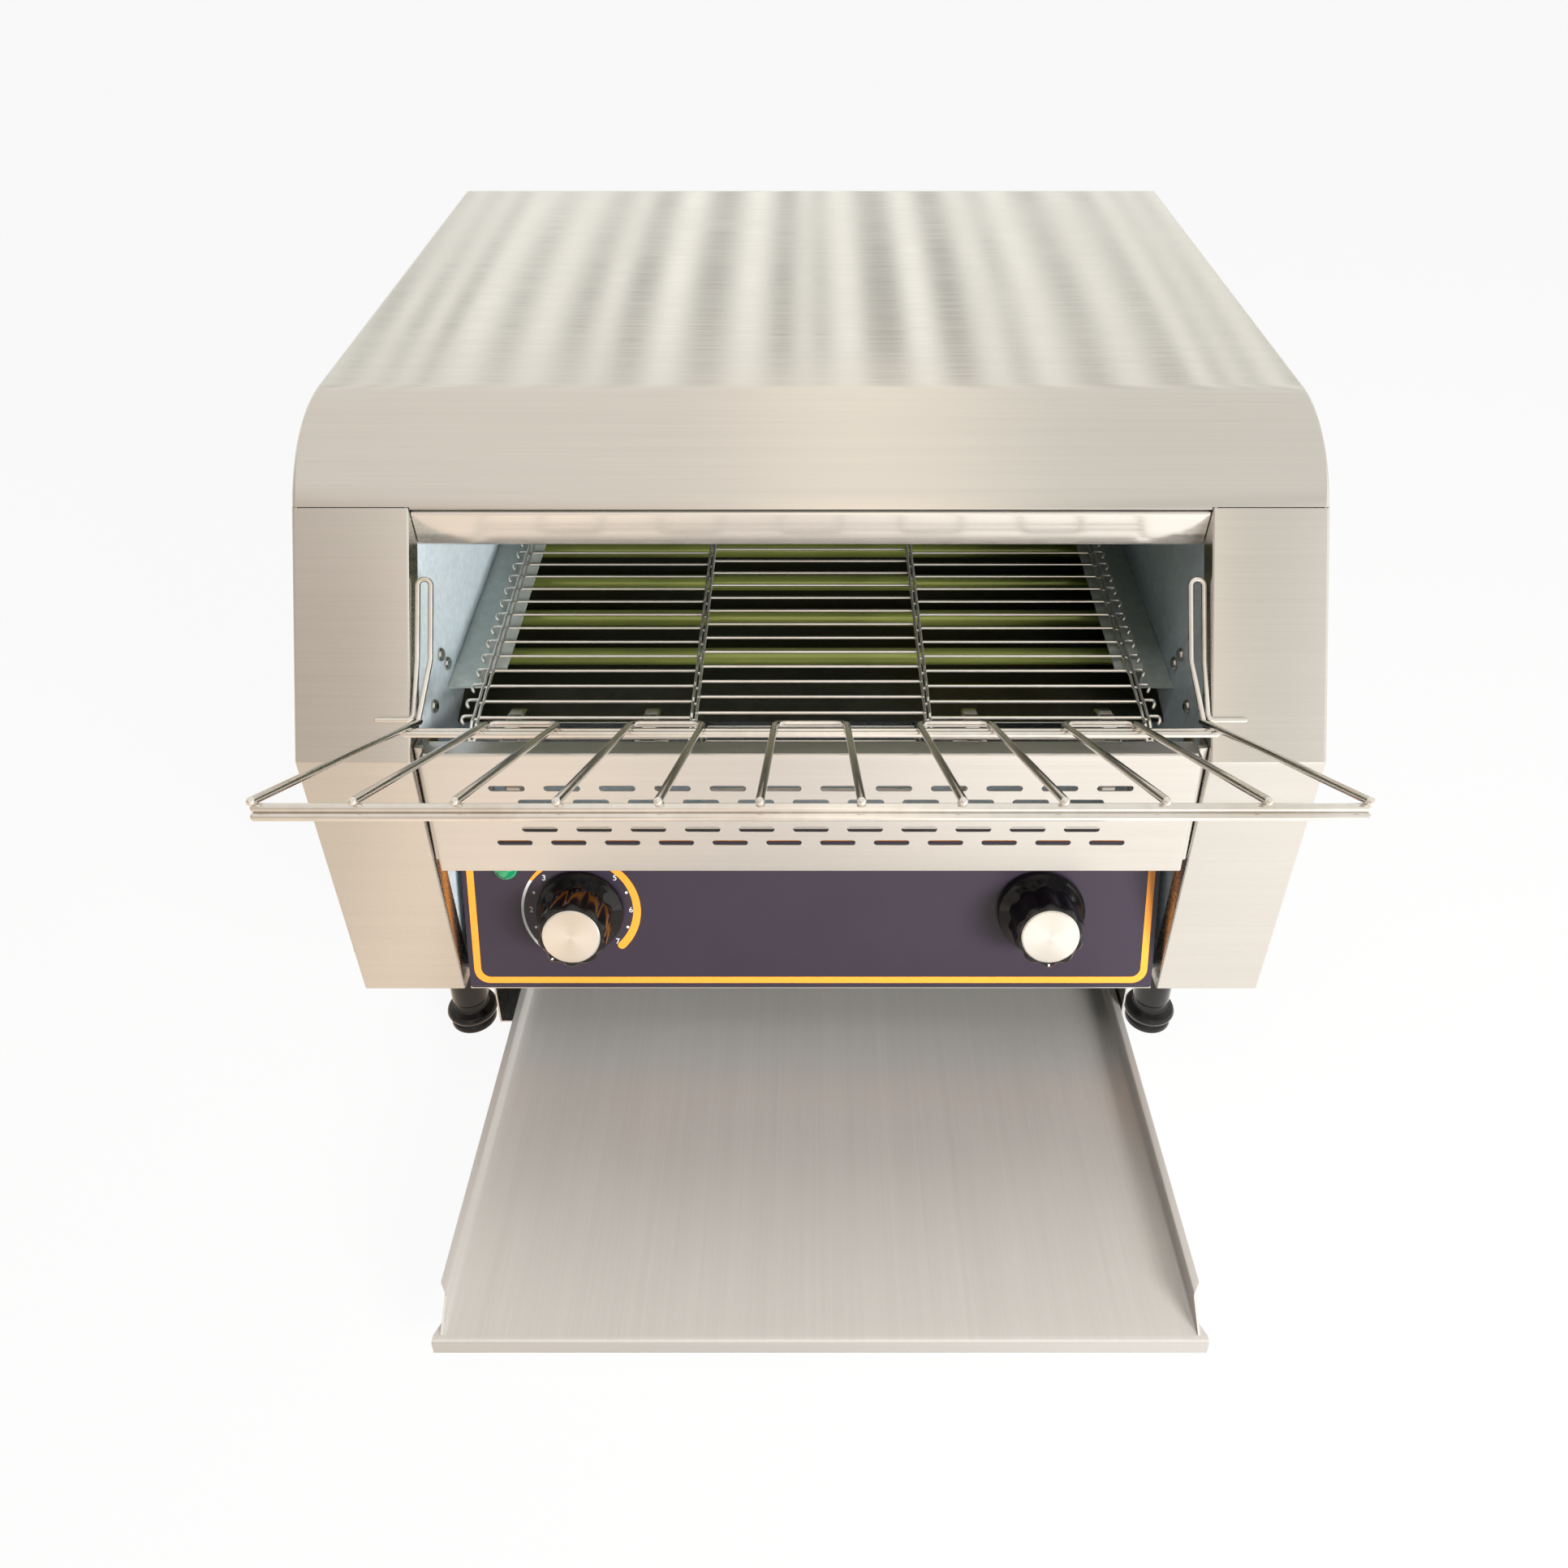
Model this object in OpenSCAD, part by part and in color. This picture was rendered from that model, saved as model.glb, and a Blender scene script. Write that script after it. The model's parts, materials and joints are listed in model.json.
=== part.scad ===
// Conveyor toaster: a sheet-metal body on four feet, a wire belt between two banks of
// heating tubes, a wire loading rack in front and a pull-out tray under the body.
// Body coordinates: X = 0 in the middle, Y = 0 at the bend line of the front columns
// and growing towards the back, Z = 0 at the underside of the body. Millimetres.

/* [Body] */
// Width over the side panels
body_w = 468; // [440:1:570]
// Depth from the bend line of the columns to the back
body_d = 419; // [390:1:510]
// Height of the back edge of the roof above the underside
body_h = 328; // [322:1:400]
// Thickness of the case sheet
sheet = 1; // [0.8:0.1:1.2]
// Width of a front column
column_w = 53; // [40:1:62]
// Height of the bend in the front columns
bend_h = 154.1; // [140:0.1:165]
// How far the lower column face leans in at its foot
toe_in = 10.5; // [0:0.5:12]
// Lean of the upper column face from vertical, in degrees
face_lean = 28.3; // [20:0.1:35]
// Height of the seam between the columns and the hood
seam_h = 255.7; // [245:0.1:262]
// Outer radius of the hood's front bend
hood_r = 72; // [40:1:74]
// Fall of the roof towards the front, in degrees
roof_fall = 6.28; // [3:0.1:8]
// Radius of the roof's back edge
back_r = 6; // [3:1:12]
// Depth to which the hood and columns wrap round the sides
wrap_d = 14; // [8:1:18]
// Depth of the inner return of a column
return_d = 12; // [8:1:16]

/* [Conveyor] */
// Wire diameter of the belt
belt_wire_d = 1.6; // [1.3:0.1:1.8]
// Distance between two wires of the belt
belt_pitch = 11.43; // [10:0.01:14]
// Teeth of a belt sprocket
belt_teeth = 12; // [12, 14]
// Rise of the belt towards the back, in degrees
belt_rise = 7.7; // [4:0.1:9]
// Depth of the front axle behind the bend line
axle_y = 30; // [30:1:40]
// Height of the front axle
axle_h = 138.4; // [134:0.1:142]
// Depth kept free behind the back axle for the falling toast
drop_d = 104; // [90:1:130]
// Distance from the belt's wire ends to the column's inner edge
belt_margin = 16.5; // [14:0.5:24]
// Forward shift of the belt's middle section
strand_offset = 4; // [3:0.5:4.5]
// Diameter of the drive and idler shafts
shaft_d = 10; // [8:1:12]

/* [Heating] */
// Number of heating tubes in each bank
heater_n = 5; // [3:1:6]
// Diameter of a heating tube
heater_d = 9; // [7:0.5:10]
// Distance between two tubes
heater_pitch = 33.3; // [28:0.1:36]
// Distance of the first tube from the front axle, along the belt
heater_start = 72.6; // [66:0.1:80]
// Height of the upper bank above the belt surface
toast_gap = 66; // [58:1:67]

/* [Front] */
// Height of the control panel along its slope
panel_h = 92; // [84:1:93]
// Lean of the control panel from vertical, in degrees
panel_lean = 14.5; // [10:0.5:16]
// Distance of the knobs from the middle
knob_x = 118; // [90:1:125]
// Height of the knobs up the panel's slope
knob_up = 46; // [40:1:52]
// Diameter of a knob's skirt
knob_d = 44.5; // [36:0.5:50]
// Diameter of the control spindles
spindle_d = 6; // [5:0.5:7]
// Height of the vent guard
guard_h = 68; // [60:1:68]
// Distance from the vent guard's sides to the columns' inner edges
guard_margin = 5; // [5:0.5:20]
// Distance of the vent guard in front of the bend line
guard_out = 3.5; // [3:0.5:6]

/* [Rack] */
// Wire diameter of the loading rack
rack_wire_d = 3; // [2.5:0.1:3.2]
// Distance between two rods of the rack
rack_pitch = 32; // [26:0.5:32]
// Length of the rack along its slope
rack_l = 162; // [120:1:200]
// Rise of the rack towards the front, in degrees
rack_rise = 25.8; // [15:0.1:30]

/* [Tray] */
// Width of the tray over its hems
tray_w = 330; // [290:1:330]
// Length of the tray
tray_l = 496; // [440:1:500]
// How far the tray stands out in front of the bend line
tray_out = 151; // [60:1:200]
// Height of the tray's side walls
tray_wall = 10; // [6:1:11]
// How far the tray sits to the right in its runners
tray_shift = 4; // [0:1:4]

/* [Feet] */
// Height of the feet
foot_h = 59; // [52:1:80]
// Diameter of a foot's stem
foot_d = 20; // [16:1:22]
// Diameter of the foot's flared ring
foot_ring_d = 28; // [24:1:30]
// Depth of the front feet behind the bend line
foot_front = 44; // [36:1:60]
// Distance of the back feet from the back
foot_back = 44; // [36:1:60]

/* [Hidden] */

// Air gap between separate pieces, and radial clearance of a running fit
gap = 0.3;
fit = 0.05;
eps = 0.01;
steel = [0.78, 0.78, 0.76];
zinc = [0.62, 0.68, 0.72];
black = [0.03, 0.03, 0.035];

half_w = body_w / 2;
column_in = half_w - column_w;
wall_x = column_in + sheet + gap;
wall_out = wall_x + sheet;
face_angle = 90 - face_lean;
seam_y = (seam_h - bend_h) * tan(face_lean);
base_z = sheet + gap;
base_top = base_z + sheet;
rear_in = body_d - sheet - gap;

lip_drop = 19.3;
lip_back = 4.1;
lip_tail = 14;

gland_l = 8;
gland_d = 20;
gland_x = -150;
gland_h = 40;
rack_back = [4.6, 173.1];
hook_wire_d = 2.5;

// Front and back ends of the whole object, for the origin in the middle between them
rack_reach = rack_l * cos(rack_rise) - rack_back[0] + rack_wire_d / 2;
front_end = max(tray_out, rack_reach);
back_end = body_d + gland_l;
mid_y = (back_end - front_end) / 2;

// Belt: two straight runs and a half turn round each sprocket
pitch_r = belt_pitch / (2 * sin(180 / belt_teeth));
belt_wrap = belt_teeth / 2;
run_pitches = floor((body_d - drop_d - axle_y) / (belt_pitch * cos(belt_rise)));
run_l = run_pitches * belt_pitch;
strand_n = 2 * (run_pitches + belt_wrap);
belt_top = pitch_r + belt_wire_d / 2;
belt_half_w = column_in - belt_margin;
link_x = belt_half_w / 3 - 4;
link_shift = 4.5;
link_gap = 0.3;
link_t = 1.2;
link_mouth = 1;
edge_inset = 2.5;
roller_x = [belt_half_w * 0.46, belt_half_w * 0.85];

// Belt rails, a Z section from the belt's edge to the wall
rail_in = belt_half_w - 13.5;
rail_w = 14.5;
rail_top = pitch_r - belt_wire_d / 2 - link_t - 2 * link_gap;
rail_foot = 8.5;
rail_clear = pitch_r + 16;

heater_up = belt_top + toast_gap;
cap_d = 11;
cap_collar_d = 14;
cap_l = 14;
reflector_up = heater_up + heater_d / 2 + 8;
reflector_down = -11;

bush_d = shaft_d + 6;
bush_flange_d = bush_d + 5;
bush_flange_t = 2;
motor_stand = 8;
motor_x = wall_out + motor_stand;
gearbox_d = 62;
gearbox_t = 20;
motor_can_d = 54;
motor_can_t = 16;
motor_post_d = 7;
motor_post_r = 25;

panel_w = 2 * column_in - 6;
panel_top_y = toe_in + panel_h * sin(panel_lean);
panel_top_z = panel_h * cos(panel_lean);
shield_z = panel_top_z + gap;
shield_back = rear_in - drop_d - 20;
shield_flange = 12;
wall_flange = 10;
overlay_t = 0.4;
bushing_d = 9;
lamp_x = 155;
lamp_up = 70;
lamp_d = 12;
knob_h = 26;
knob_lift = overlay_t + 1;
cap_face_d = 29;
guard_w = 2 * (column_in - guard_margin);
guard_z = panel_top_z + 4;
guard_slot_l = 16.5;
guard_slot_w = 3;
guard_slot_pitch = 25.2;
guard_slot_n = floor((guard_w - 44) / guard_slot_pitch);
guard_row_n = 5;
guard_row_rise = 7.95;
guard_first_row = 17.2;
guard_ledge = 10.5;
guard_ear_y = guard_out + 7.5;

hook_x = column_in - gap - hook_wire_d / 2 - 0.4;
hook_loop_w = 6;
hook_low_z = rack_back[1] - 1.1;
hook_kink_z = 192.8;
hook_top_z = 224.5;

tray_floor = -39;
tray_wall_x = tray_w / 2 - 4;
tray_lip = 8;
runner_x = tray_w / 2 + 5;
runner_foot = 22;
runner_end = shield_back;
foot_x = wall_out + 9;
pad_h = 17.7;
stud_d = 8;
fan_w = 80;
fan_t = 25;
fan_at = [-70, 150];

// ---- Plane geometry ----
function unit(v) = v / norm(v);
function heading(a) = [cos(a), sin(a)];
function left_of(v) = [-v[1], v[0]];
function flip(p) = [for (i = [len(p) - 1:-1:0]) p[i]];
// Where the line through p at angle a meets the line through q at angle b
function meet(p, a, q, b) =
    let (u = heading(a), v = heading(b), w = q - p)
    p + u * ((w[0] * v[1] - w[1] * v[0]) / (u[0] * v[1] - u[1] * v[0]));
function arc(c, r, a, b, n) = [for (i = [0:n]) c + r * heading(a + (b - a) * i / n)];
// Closed outline of a bent sheet: the path p, and the same path t to its left
function ribbon(p, t) =
    let (last = len(p) - 1,
        side = [for (i = [0:last])
            let (u = left_of(unit(p[max(i, 1)] - p[max(i, 1) - 1])),
                v = left_of(unit(p[min(i, last - 1) + 1] - p[min(i, last - 1)])))
            p[i] + (u + v) * t / (1 + u * v)])
    concat(p, flip(side));

// ---- Side outline of the body, inset by t at the front and roof ----
lower_angle = atan2(bend_h, -toe_in);
function front_at(z) = z < bend_h ? toe_in * (1 - z / bend_h) : (z - bend_h) * tan(face_lean);
function inset(p, a, t) = p - t * left_of(heading(a));
function bend_point(t) = meet(inset([0, bend_h], lower_angle, t), lower_angle,
    inset([0, bend_h], face_angle, t), face_angle);
function foot_point(t, z) = meet(inset([0, bend_h], lower_angle, t), lower_angle, [0, z], 0);
function roof_point(t, y) = meet(inset([body_d, body_h], roof_fall, t), roof_fall, [y, 0], 90);
// The front bend starts at least one sheet above the seam, whatever its stated radius
bend_corner = meet([0, bend_h], face_angle, [body_d, body_h], roof_fall);
bend_room = (bend_corner[1] - seam_h) / cos(face_lean) - sheet;
bend_r = min(hood_r, bend_room / tan((face_angle - roof_fall) / 2));
hood_c = meet(inset([0, bend_h], face_angle, bend_r), face_angle,
    inset([body_d, body_h], roof_fall, bend_r), roof_fall);
function hood_arc(t) = arc(hood_c, bend_r - t, face_angle + 90, roof_fall + 90, 14);
function seam_point(t, z) = meet(inset([0, bend_h], face_angle, t), face_angle, [0, z], 0);
// The corner under the rounded back edge is cut off where t is less than that radius
function side_outline(t, bottom, back) =
    let (cut = back_r + 1 - t)
    concat([foot_point(t, bottom), bend_point(t)], hood_arc(t),
        cut > 0 ? [roof_point(t, back - cut), roof_point(t, back) - [0, cut]] : [roof_point(t, back)],
        [[back, bottom]]);
back_c = [body_d - back_r, roof_point(back_r, body_d - back_r)[1]];
function roof_edge(t) = arc(back_c, back_r - t, roof_fall + 90, 0, 5);

// ---- Building blocks ----
module body_frame() {
    translate([0, -mid_y, foot_h]) children();
}
// Extrudes a (y, z) outline along X from x0 to x1
module across(x0, x1) {
    translate([x0, 0, 0])
        rotate([90, 0, 90])
            linear_extrude(x1 - x0)
                children();
}
module both_sides() {
    children();
    mirror([1, 0, 0]) children();
}
module side(s) {
    if (s > 0) children();
    else mirror([1, 0, 0]) children();
}
module slot2d(l, w) {
    square([l - w, w], center = true);
    for (s = [-1, 1])
        translate([s * (l - w) / 2, 0])
            circle(d = w, $fn = 24);
}
// Belt coordinates: x, distance along the belt from the front axle, height over the axles
module at_belt() {
    translate([0, axle_y, axle_h])
        rotate([belt_rise, 0, 0])
            children();
}
function belt_yz(s, n) = [axle_y + s * cos(belt_rise) - n * sin(belt_rise),
    axle_h + s * sin(belt_rise) + n * cos(belt_rise)];
// Panel coordinates: x, distance up the slope, distance out of the face
module at_panel(x = 0, up = 0) {
    translate([0, toe_in, 0])
        rotate([90 - panel_lean, 0, 0])
            translate([x, up, 0])
                children();
}
module rod(a, b, d) {
    v = b - a;
    translate(a)
        rotate([0, acos(v[2] / norm(v)), atan2(v[1], v[0])])
            cylinder(d = d, h = norm(v), $fn = 24);
}
// Wire through the points p, with a slightly fuller ball at each bend
module wire(p, d) {
    for (i = [0:len(p) - 2])
        rod(p[i], p[i + 1], d);
    for (i = [1:1:len(p) - 2])
        translate(p[i])
            sphere(d = d * 1.06, $fn = 24);
}

// ---- Case ----
skirt_screw_y = [0.36, 0.66, 0.94] * body_d;
function skirt_screw(i) = roof_point(wrap_d / 2 + sheet / 2, skirt_screw_y[i]);
column_screw_z = [0.16, 0.8] * bend_h;
screw_d = 3.4;
module side_screw_holes() {
    for (i = [0:2])
        translate(skirt_screw(i))
            circle(d = screw_d + 2 * gap, $fn = 24);
    for (z = column_screw_z)
        translate([front_at(z) + wrap_d / 2, z])
            circle(d = screw_d + 2 * gap, $fn = 24);
}
module top_hood() {
    edge = concat([seam_point(0, seam_h)], hood_arc(0), roof_edge(0), [[body_d, body_h - wrap_d]]);
    inner = concat([seam_point(wrap_d, seam_h)], hood_arc(wrap_d), [roof_point(wrap_d, body_d)]);
    color(steel) body_frame() {
        across(-half_w, half_w)
            polygon(ribbon(flip(edge), sheet));
        across(-column_in + gap, column_in - gap)
            polygon(ribbon([seam_point(0, seam_h), seam_point(wrap_d, seam_h)], -sheet));
        both_sides()
            across(half_w - sheet, half_w)
                difference() {
                    polygon(concat(edge, flip(inner)));
                    side_screw_holes();
                }
    }
}
louvre_n = 11;
module side_louvres() {
    for (row = [0, 1], i = [0:louvre_n - 1])
        translate([body_d * 0.30 + i * body_d * 0.052, 52 + row * 44])
            rotate([0, 0, 90])
                slot2d(30, 5);
}
module side_panel() {
    step = wrap_d + gap;
    across(half_w - sheet, half_w)
        difference() {
            polygon(side_outline(step, 0, body_d));
            side_louvres();
        }
    across(half_w - 2 * sheet - gap, half_w)
        difference() {
            polygon(side_outline(step, 0, rear_in));
            polygon(side_outline(step + sheet, -1, body_d + 1));
        }
    across(half_w - 2 * sheet - gap, half_w - sheet - gap)
        difference() {
            polygon(side_outline(sheet + gap, 0, rear_in));
            polygon(side_outline(step + sheet, -1, body_d + 1));
            side_screw_holes();
        }
    // Bottom flange, and the back flange that carries the rear panel
    translate([half_w - wrap_d - sheet, foot_point(step, 0)[0], 0])
        cube([wrap_d, rear_in - foot_point(step, 0)[0], sheet]);
    across(half_w - wrap_d - sheet, half_w - sheet + eps)
        translate([rear_in - sheet, 0])
            square([sheet, body_h - 2 * wrap_d]);
}
module left_side_panel() {
    color(steel) body_frame() side(-1) side_panel();
}
module right_side_panel() {
    color(steel) body_frame() side(1) side_panel();
}
// Column section to the depth t, level at the foot and at the seam; its first sheet is cut square
function column_section(t) =
    let (top = seam_point(0, seam_h - gap), edge = top - sheet * left_of(heading(face_angle)))
    concat([foot_point(0, 0), bend_point(0), top, edge],
        t > sheet ? [seam_point(t, edge[1])] : [],
        [bend_point(t), foot_point(t, 0)]);
module front_column() {
    across(column_in, half_w)
        polygon(column_section(sheet));
    across(column_in, column_in + sheet)
        polygon(column_section(return_d));
    across(half_w - sheet, half_w)
        difference() {
            polygon(column_section(wrap_d));
            side_screw_holes();
        }
    translate([column_in + sheet / 2, foot_point(sheet / 2, 0)[0], 0])
        cube([column_w - 2.5 * sheet - 2 * gap, return_d - 2 * sheet, sheet]);
}
module left_front_column() {
    color(steel) body_frame() side(-1) front_column();
}
module right_front_column() {
    color(steel) body_frame() side(1) front_column();
}
rear_screw_z = [0.12, 0.5, 0.86] * body_h;
rear_screw_x = half_w - wrap_d / 2 - sheet;
module rear_panel() {
    w = half_w - sheet - gap;
    top = body_h - wrap_d - gap;
    color(steel) body_frame() {
        translate([0, body_d, 0])
            rotate([90, 0, 0])
                linear_extrude(sheet)
                    difference() {
                        translate([-w, 0]) square([2 * w, top]);
                        for (row = [0:3], i = [-6:6])
                            translate([i * 24, top * 0.66 + row * 12])
                                slot2d(18, 4);
                        for (row = [0:2], s = [-1, 1], i = [0:1])
                            translate([s * (wall_out + 14 + i * 14), top * 0.2 + row * 40])
                                rotate([0, 0, 90]) slot2d(28, 4);
                        translate([gland_x, gland_h]) circle(d = gland_d - 6, $fn = 48);
                        for (s = [-1, 1], z = rear_screw_z)
                            translate([s * rear_screw_x, z]) circle(d = screw_d + 2 * gap, $fn = 24);
                    }
        // Top flange behind the hood's back edge
        across(-w + wrap_d + gap, w - wrap_d - gap)
            polygon(ribbon([[body_d - sheet, top - 6], [body_d - sheet, top - 3],
                [rear_in, top], [rear_in, top + wrap_d / 2]], sheet));
    }
}
module base_plate() {
    front = toe_in + return_d + sheet + gap;
    w = half_w - 2 * sheet - 2 * gap;
    color(zinc) body_frame()
        translate([0, 0, base_z])
            linear_extrude(sheet)
                difference() {
                    translate([-w, front]) square([2 * w, rear_in - sheet - gap - front]);
                    translate([-wall_x, shield_back + sheet + gap])
                        square([2 * wall_x, body_d]);
                    for (x = [-foot_x, foot_x], y = [foot_front, body_d - foot_back])
                        translate([x, y]) circle(d = stud_d + 2 * gap, $fn = 32);
                    for (i = [-3:3])
                        translate([fan_at[0], fan_at[1] + i * 9])
                            slot2d(2 * sqrt(pow(fan_w / 2 - 6, 2) - pow(i * 9, 2)), 5);
                }
}
module upper_lip() {
    top = seam_point(sheet, seam_h - sheet - 2 * gap);
    color(steel) body_frame()
        across(-column_in + gap, column_in - gap)
            polygon(ribbon([top + [wrap_d, 0], top, top + [lip_back, -lip_drop],
                top + [lip_tail, -lip_drop]], sheet));
}

// ---- Front ----
module guard_slots() {
    for (row = [0:guard_row_n - 1]) {
        last = guard_slot_n - 1 - row % 2;
        for (i = [0:last])
            translate([(i - last / 2) * guard_slot_pitch, guard_first_row + row * guard_row_rise])
                slot2d(guard_slot_l, guard_slot_w);
    }
}
module vent_guard() {
    top = guard_z + guard_h;
    ear_y = guard_ear_y;
    color(steel) body_frame()
        translate([0, -guard_out, 0]) {
            translate([0, sheet, guard_z])
                rotate([90, 0, 0])
                    linear_extrude(sheet)
                        difference() {
                            translate([-guard_w / 2, 0]) square([guard_w, guard_h]);
                            guard_slots();
                        }
            translate([-guard_w / 2, 0, top - sheet])
                cube([guard_w, guard_ledge, sheet]);
            both_sides() {
                translate([guard_w / 2 - sheet, 0, guard_z])
                    cube([sheet, ear_y + sheet, guard_h]);
                translate([guard_w / 2 - sheet, ear_y, guard_z])
                    cube([column_in - gap - guard_w / 2 + sheet, sheet, guard_h - 6]);
                translate([column_in - gap - sheet, ear_y, guard_z])
                    cube([sheet, 7, guard_h - 6]);
            }
        }
}
module panel_holes(extra) {
    for (x = [-knob_x, knob_x])
        translate([x, knob_up]) circle(d = bushing_d + 2 * extra, $fn = 32);
    translate([-lamp_x, lamp_up]) circle(d = lamp_d - 2 + 2 * extra, $fn = 32);
}
module control_panel() {
    w = panel_w / 2;
    color(steel) body_frame() {
        at_panel()
            translate([0, 0, -sheet])
                linear_extrude(sheet)
                    difference() {
                        translate([-w, 0.3]) square([panel_w, panel_h - 0.3]);
                        panel_holes(gap);
                    }
        across(-w, w)
            polygon(ribbon([[panel_top_y + return_d + 2, panel_top_z - gap],
                [panel_top_y + sheet / 2, panel_top_z - gap]], sheet));
        across(-w, w)
            polygon([[toe_in + 0.3, 0], [toe_in + return_d + sheet, 0],
                [toe_in + return_d + sheet, sheet], [toe_in + 0.6, sheet]]);
        both_sides()
            across(w - sheet, w)
                polygon([[toe_in + 0.5, 0.5], [toe_in + return_d, 0.5],
                    [panel_top_y + return_d, panel_top_z - 2 * gap],
                    [panel_top_y + gap, panel_top_z - 2 * gap]]);
    }
}
module panel_overlay() {
    color(black) body_frame()
        at_panel()
            linear_extrude(overlay_t)
                difference() {
                    translate([-panel_w / 2, 1]) square([panel_w, panel_h - 2]);
                    panel_holes(gap);
                }
}
// A rotary control behind the panel: housing, threaded bushing and its nut in front
module rotary_control(x, w, h, t) {
    at_panel(x, knob_up)
        difference() {
            union() {
                translate([-w / 2, -h / 2, -sheet - gap - t]) cube([w, h, t]);
                translate([0, 0, -sheet - gap - eps]) cylinder(d = bushing_d, h = 6 + sheet, $fn = 32);
                translate([0, 0, overlay_t + gap]) cylinder(d = 13, h = 2.2, $fn = 6);
            }
            translate([0, 0, -sheet - gap - t / 2]) cylinder(d = spindle_d + 2 * fit, h = 40, $fn = 32);
        }
}
module spindle(x, t) {
    at_panel(x, knob_up)
        translate([0, 0, -sheet - gap - t / 2 + fit])
            cylinder(d = spindle_d, h = t / 2 + sheet + gap + 18, $fn = 32);
}
module knob(x, angle) {
    at_panel(x, knob_up)
        translate([0, 0, knob_lift])
            rotate([0, 0, angle])
                difference() {
                    union() {
                        rotate_extrude($fn = 64)
                            polygon([[0, 0], [knob_d / 2, 0], [knob_d / 2, 2.2], [knob_d / 2 - 2, 4.2],
                                [17.6, 6], [0, 6]]);
                        translate([0, 0, 5])
                            linear_extrude(knob_h - 6)
                                difference() {
                                    circle(d = 35, $fn = 64);
                                    for (i = [0:9])
                                        rotate([0, 0, 18 + i * 36])
                                            translate([20.6, 0]) circle(d = 9, $fn = 24);
                                }
                        translate([0, 0, knob_h - 1 - eps])
                            cylinder(d1 = 31.6, d2 = 30.2, h = 1, $fn = 64);
                        translate([14, -1.2, 5]) cube([4.6, 2.4, knob_h - 6.5]);
                    }
                    translate([0, 0, -eps]) cylinder(d = 18, h = 5, $fn = 48);
                    cylinder(d = spindle_d + 2 * fit, h = 18, $fn = 32);
                    translate([0, 0, knob_h - 0.8]) cylinder(d = cap_face_d + 2 * fit, h = 2, $fn = 64);
                }
}
module knob_cap(x) {
    at_panel(x, knob_up)
        translate([0, 0, knob_lift + knob_h - 0.8 + fit])
            rotate_extrude($fn = 64)
                polygon([[0, 0], [cap_face_d / 2, 0], [cap_face_d / 2, 0.8],
                    [cap_face_d / 2 - 0.6, 1.2], [0, 1.2]]);
}
pot_size = [30, 30, 12];
switch_size = [42, 32, 30];
speed_rest = 231;
mode_rest = -90;
module speed_control() {
    color(zinc) body_frame() rotary_control(-knob_x, pot_size[0], pot_size[1], pot_size[2]);
}
module speed_spindle() {
    color(steel) body_frame() spindle(-knob_x, pot_size[2]);
}
module speed_knob() {
    color(black) body_frame() knob(-knob_x, speed_rest);
}
module speed_knob_cap() {
    color(steel) body_frame() knob_cap(-knob_x);
}
module mode_switch() {
    color(black) body_frame() rotary_control(knob_x, switch_size[0], switch_size[1], switch_size[2]);
}
module mode_spindle() {
    color(steel) body_frame() spindle(knob_x, switch_size[2]);
}
module mode_knob() {
    color(black) body_frame() knob(knob_x, mode_rest);
}
module mode_knob_cap() {
    color(steel) body_frame() knob_cap(knob_x);
}
module lamp_body() {
    color(black) body_frame()
        at_panel(-lamp_x, lamp_up)
            rotate_extrude($fn = 48)
                polygon([[0, -18], [3.5, -18], [3.5, -12], [lamp_d / 2 - 1, -12],
                    [lamp_d / 2 - 1, overlay_t + gap], [0, overlay_t + gap]]);
}
module lamp_lens() {
    color([0.05, 0.5, 0.25]) body_frame()
        at_panel(-lamp_x, lamp_up)
            translate([0, 0, overlay_t + 2 * gap])
                rotate_extrude($fn = 48)
                    polygon(concat([[0, 0], [lamp_d / 2, 0], [lamp_d / 2, 1.2]],
                        arc([0, 1.2], lamp_d / 2 - 1, 0, 90, 6)));
}

// ---- Toasting chamber ----
wall_screw_at = [[axle_y + 13, axle_h + 17.6], [axle_y + 34, axle_h + 34],
    [axle_y + 41, axle_h + 24.6]];
module inner_wall() {
    across(wall_x, wall_out)
        difference() {
            polygon(side_outline(sheet + gap, base_top + gap, rear_in - sheet - gap));
            for (s = [0, run_l])
                translate(belt_yz(s, 0)) circle(d = bush_d + 2 * fit, $fn = 48);
            for (i = [0:heater_n - 1], n = [0, heater_up])
                translate(belt_yz(heater_start + i * heater_pitch, n))
                    circle(d = cap_d + 2 * gap, $fn = 32);
            for (p = wall_screw_at)
                translate(p) circle(d = screw_d + 2 * gap, $fn = 24);
            translate([body_d * 0.3, 40]) circle(d = 22, $fn = 32);
        }
    flange_y = toe_in + return_d + sheet + 2 * gap;
    translate([wall_x - wall_flange, flange_y, base_top + gap])
        cube([wall_flange + eps, shield_back - shield_flange - sheet - flange_y, sheet]);
}
module left_inner_wall() {
    color(zinc) body_frame() side(-1) inner_wall();
}
module right_inner_wall() {
    color(zinc) body_frame() side(1) inner_wall();
}
module upper_reflector() {
    w = wall_x - gap;
    front = (seam_y + 16 - belt_yz(0, reflector_up)[0]) / cos(belt_rise);
    color(zinc) body_frame()
        at_belt() {
            translate([-w, front, reflector_up])
                cube([2 * w, run_l + 8 - front, sheet]);
            both_sides()
                translate([w - sheet, front, reflector_up])
                    cube([sheet, run_l + 8 - front, 12]);
        }
}
module lower_reflector() {
    w = wall_x - gap;
    start = heater_start - 10;
    end = run_l - pitch_r - 8;
    color(zinc) body_frame()
        at_belt() {
            across(-w, w)
                polygon(ribbon([[start - 22, reflector_down - 6], [start, reflector_down],
                    [end, reflector_down]], -sheet));
            both_sides()
                translate([w - sheet, start, reflector_down - 9])
                    cube([sheet, end - start, 8.5]);
        }
}
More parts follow.
